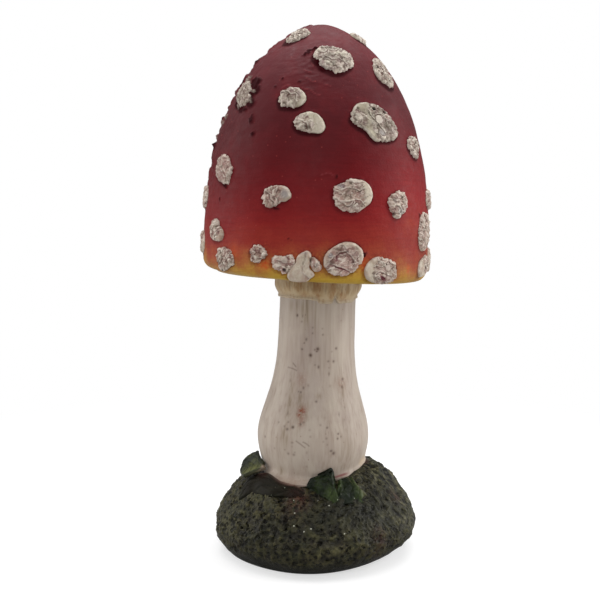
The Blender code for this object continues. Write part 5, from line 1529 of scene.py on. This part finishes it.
def make_floor():
    """A pale floor that keeps the object's shadow and is plain white further away."""
    mesh = bpy.data.meshes.new("floor")
    half = FLOOR_SIDE / 2
    mesh.from_pydata([(-half, -half, 0), (half, -half, 0), (half, half, 0), (-half, half, 0)], [],
                     [(0, 1, 2, 3)])
    floor = bpy.data.objects.new("floor", mesh)
    bpy.context.scene.collection.objects.link(floor)
    material = bpy.data.materials.new("pale floor")
    material.use_nodes = True
    material.node_tree.nodes.clear()
    nodes = Nodes(material.node_tree)
    place = nodes.add("ShaderNodeTexCoord").outputs["Object"]
    away = nodes.add("ShaderNodeVectorMath", {0: place}, operation="LENGTH").outputs["Value"]
    fade = nodes.add("ShaderNodeMapRange", {"Value": away, "From Min": FADE_START, "From Max": FADE_END},
                     interpolation_type="SMOOTHSTEP").outputs["Result"]
    seen = nodes.add("ShaderNodeLightPath").outputs["Is Camera Ray"]
    matt = nodes.add("ShaderNodeBsdfDiffuse", {"Color": FLOOR_GREY}).outputs[0]
    glow = nodes.add("ShaderNodeEmission", {"Color": WHITE, "Strength": nodes.times(seen, FLOOR_GLOW)})
    near = nodes.add("ShaderNodeAddShader", {0: matt, 1: glow.outputs[0]}).outputs[0]
    white = nodes.add("ShaderNodeEmission", {"Color": WHITE, "Strength": 1.0}).outputs[0]
    both = nodes.add("ShaderNodeMixShader", {0: nodes.times(seen, fade), 1: near, 2: white}).outputs[0]
    nodes.add("ShaderNodeOutputMaterial", {"Surface": both})
    mesh.materials.append(material)


def make_world():
    """A dim light on the object, behind a background that is white to the camera."""
    world = bpy.data.worlds.new("studio")
    bpy.context.scene.world = world
    world.use_nodes = True
    world.node_tree.nodes.clear()
    nodes = Nodes(world.node_tree)
    ray = nodes.add("ShaderNodeLightPath").outputs
    seen = nodes.sum(ray["Is Camera Ray"], ray["Is Transmission Ray"], "MAXIMUM")
    dim = nodes.add("ShaderNodeBackground", {"Color": WHITE, "Strength": WORLD_STRENGTH}).outputs[0]
    white = nodes.add("ShaderNodeBackground", {"Color": WHITE, "Strength": 1.0}).outputs[0]
    pick = nodes.add("ShaderNodeMixShader", {0: seen, 1: dim, 2: white}).outputs[0]
    nodes.add("ShaderNodeOutputWorld", {"Surface": pick})


def make_lamp(name, place, target, side, power):
    light = bpy.data.lights.new(name, "AREA")
    light.shape = "SQUARE"
    light.size = side
    light.energy = power
    lamp = bpy.data.objects.new(name, light)
    bpy.context.scene.collection.objects.link(lamp)
    lamp.location = place
    lamp.rotation_euler = (Vector(target) - Vector(place)).to_track_quat("-Z", "Y").to_euler()


SENSOR_WIDTH, LENS = 36, 55.8  # millimetres
CAMERA_PLACE, CAMERA_DIP = (-0.0039, -0.250, 0.097), 6.6  # metres, and degrees below level


def make_camera():
    camera = bpy.data.cameras.new("camera")
    camera.sensor_width = SENSOR_WIDTH
    camera.lens = LENS
    item = bpy.data.objects.new("camera", camera)
    bpy.context.scene.collection.objects.link(item)
    item.location = CAMERA_PLACE
    item.rotation_euler = (math.radians(90 - CAMERA_DIP), 0, 0)
    bpy.context.scene.camera = item


def build():
    make_cap(cap_material())
    crust = wart_material()
    for number, wart in enumerate(WARTS, start=1):
        make_wart(number, wart, crust)
    make_stem(stem_material())
    make_collar(collar_material())
    make_gills(gill_material())
    make_mound(moss_material())
    make_pad(felt_material())
    dark = leaf_material("dark glossy leaf", paint(15, 24, 9), paint(54, 68, 28),
                         paint(70, 40, 38), paint(150, 132, 114), 0.16)
    pale = leaf_material("pale green leaf with painted highlight", paint(22, 28, 12), paint(98, 100, 58),
                         paint(70, 40, 38), paint(150, 132, 114), 0.16)
    earth = leaf_material("earth brown leaf", paint(28, 25, 18), paint(50, 50, 34),
                          paint(58, 29, 28), paint(148, 120, 106), 0.06)
    for number, leaf in enumerate(LEAVES):
        kind = {"leaf_left": pale, "leaf_soil_left": earth}.get(leaf[0], dark)
        make_leaf(leaf, kind, number)

    make_floor()
    make_world()
    for name, settings in LAMPS.items():
        make_lamp(name, *settings)
    make_camera()
    bpy.context.scene.view_settings.view_transform = "Standard"


build()
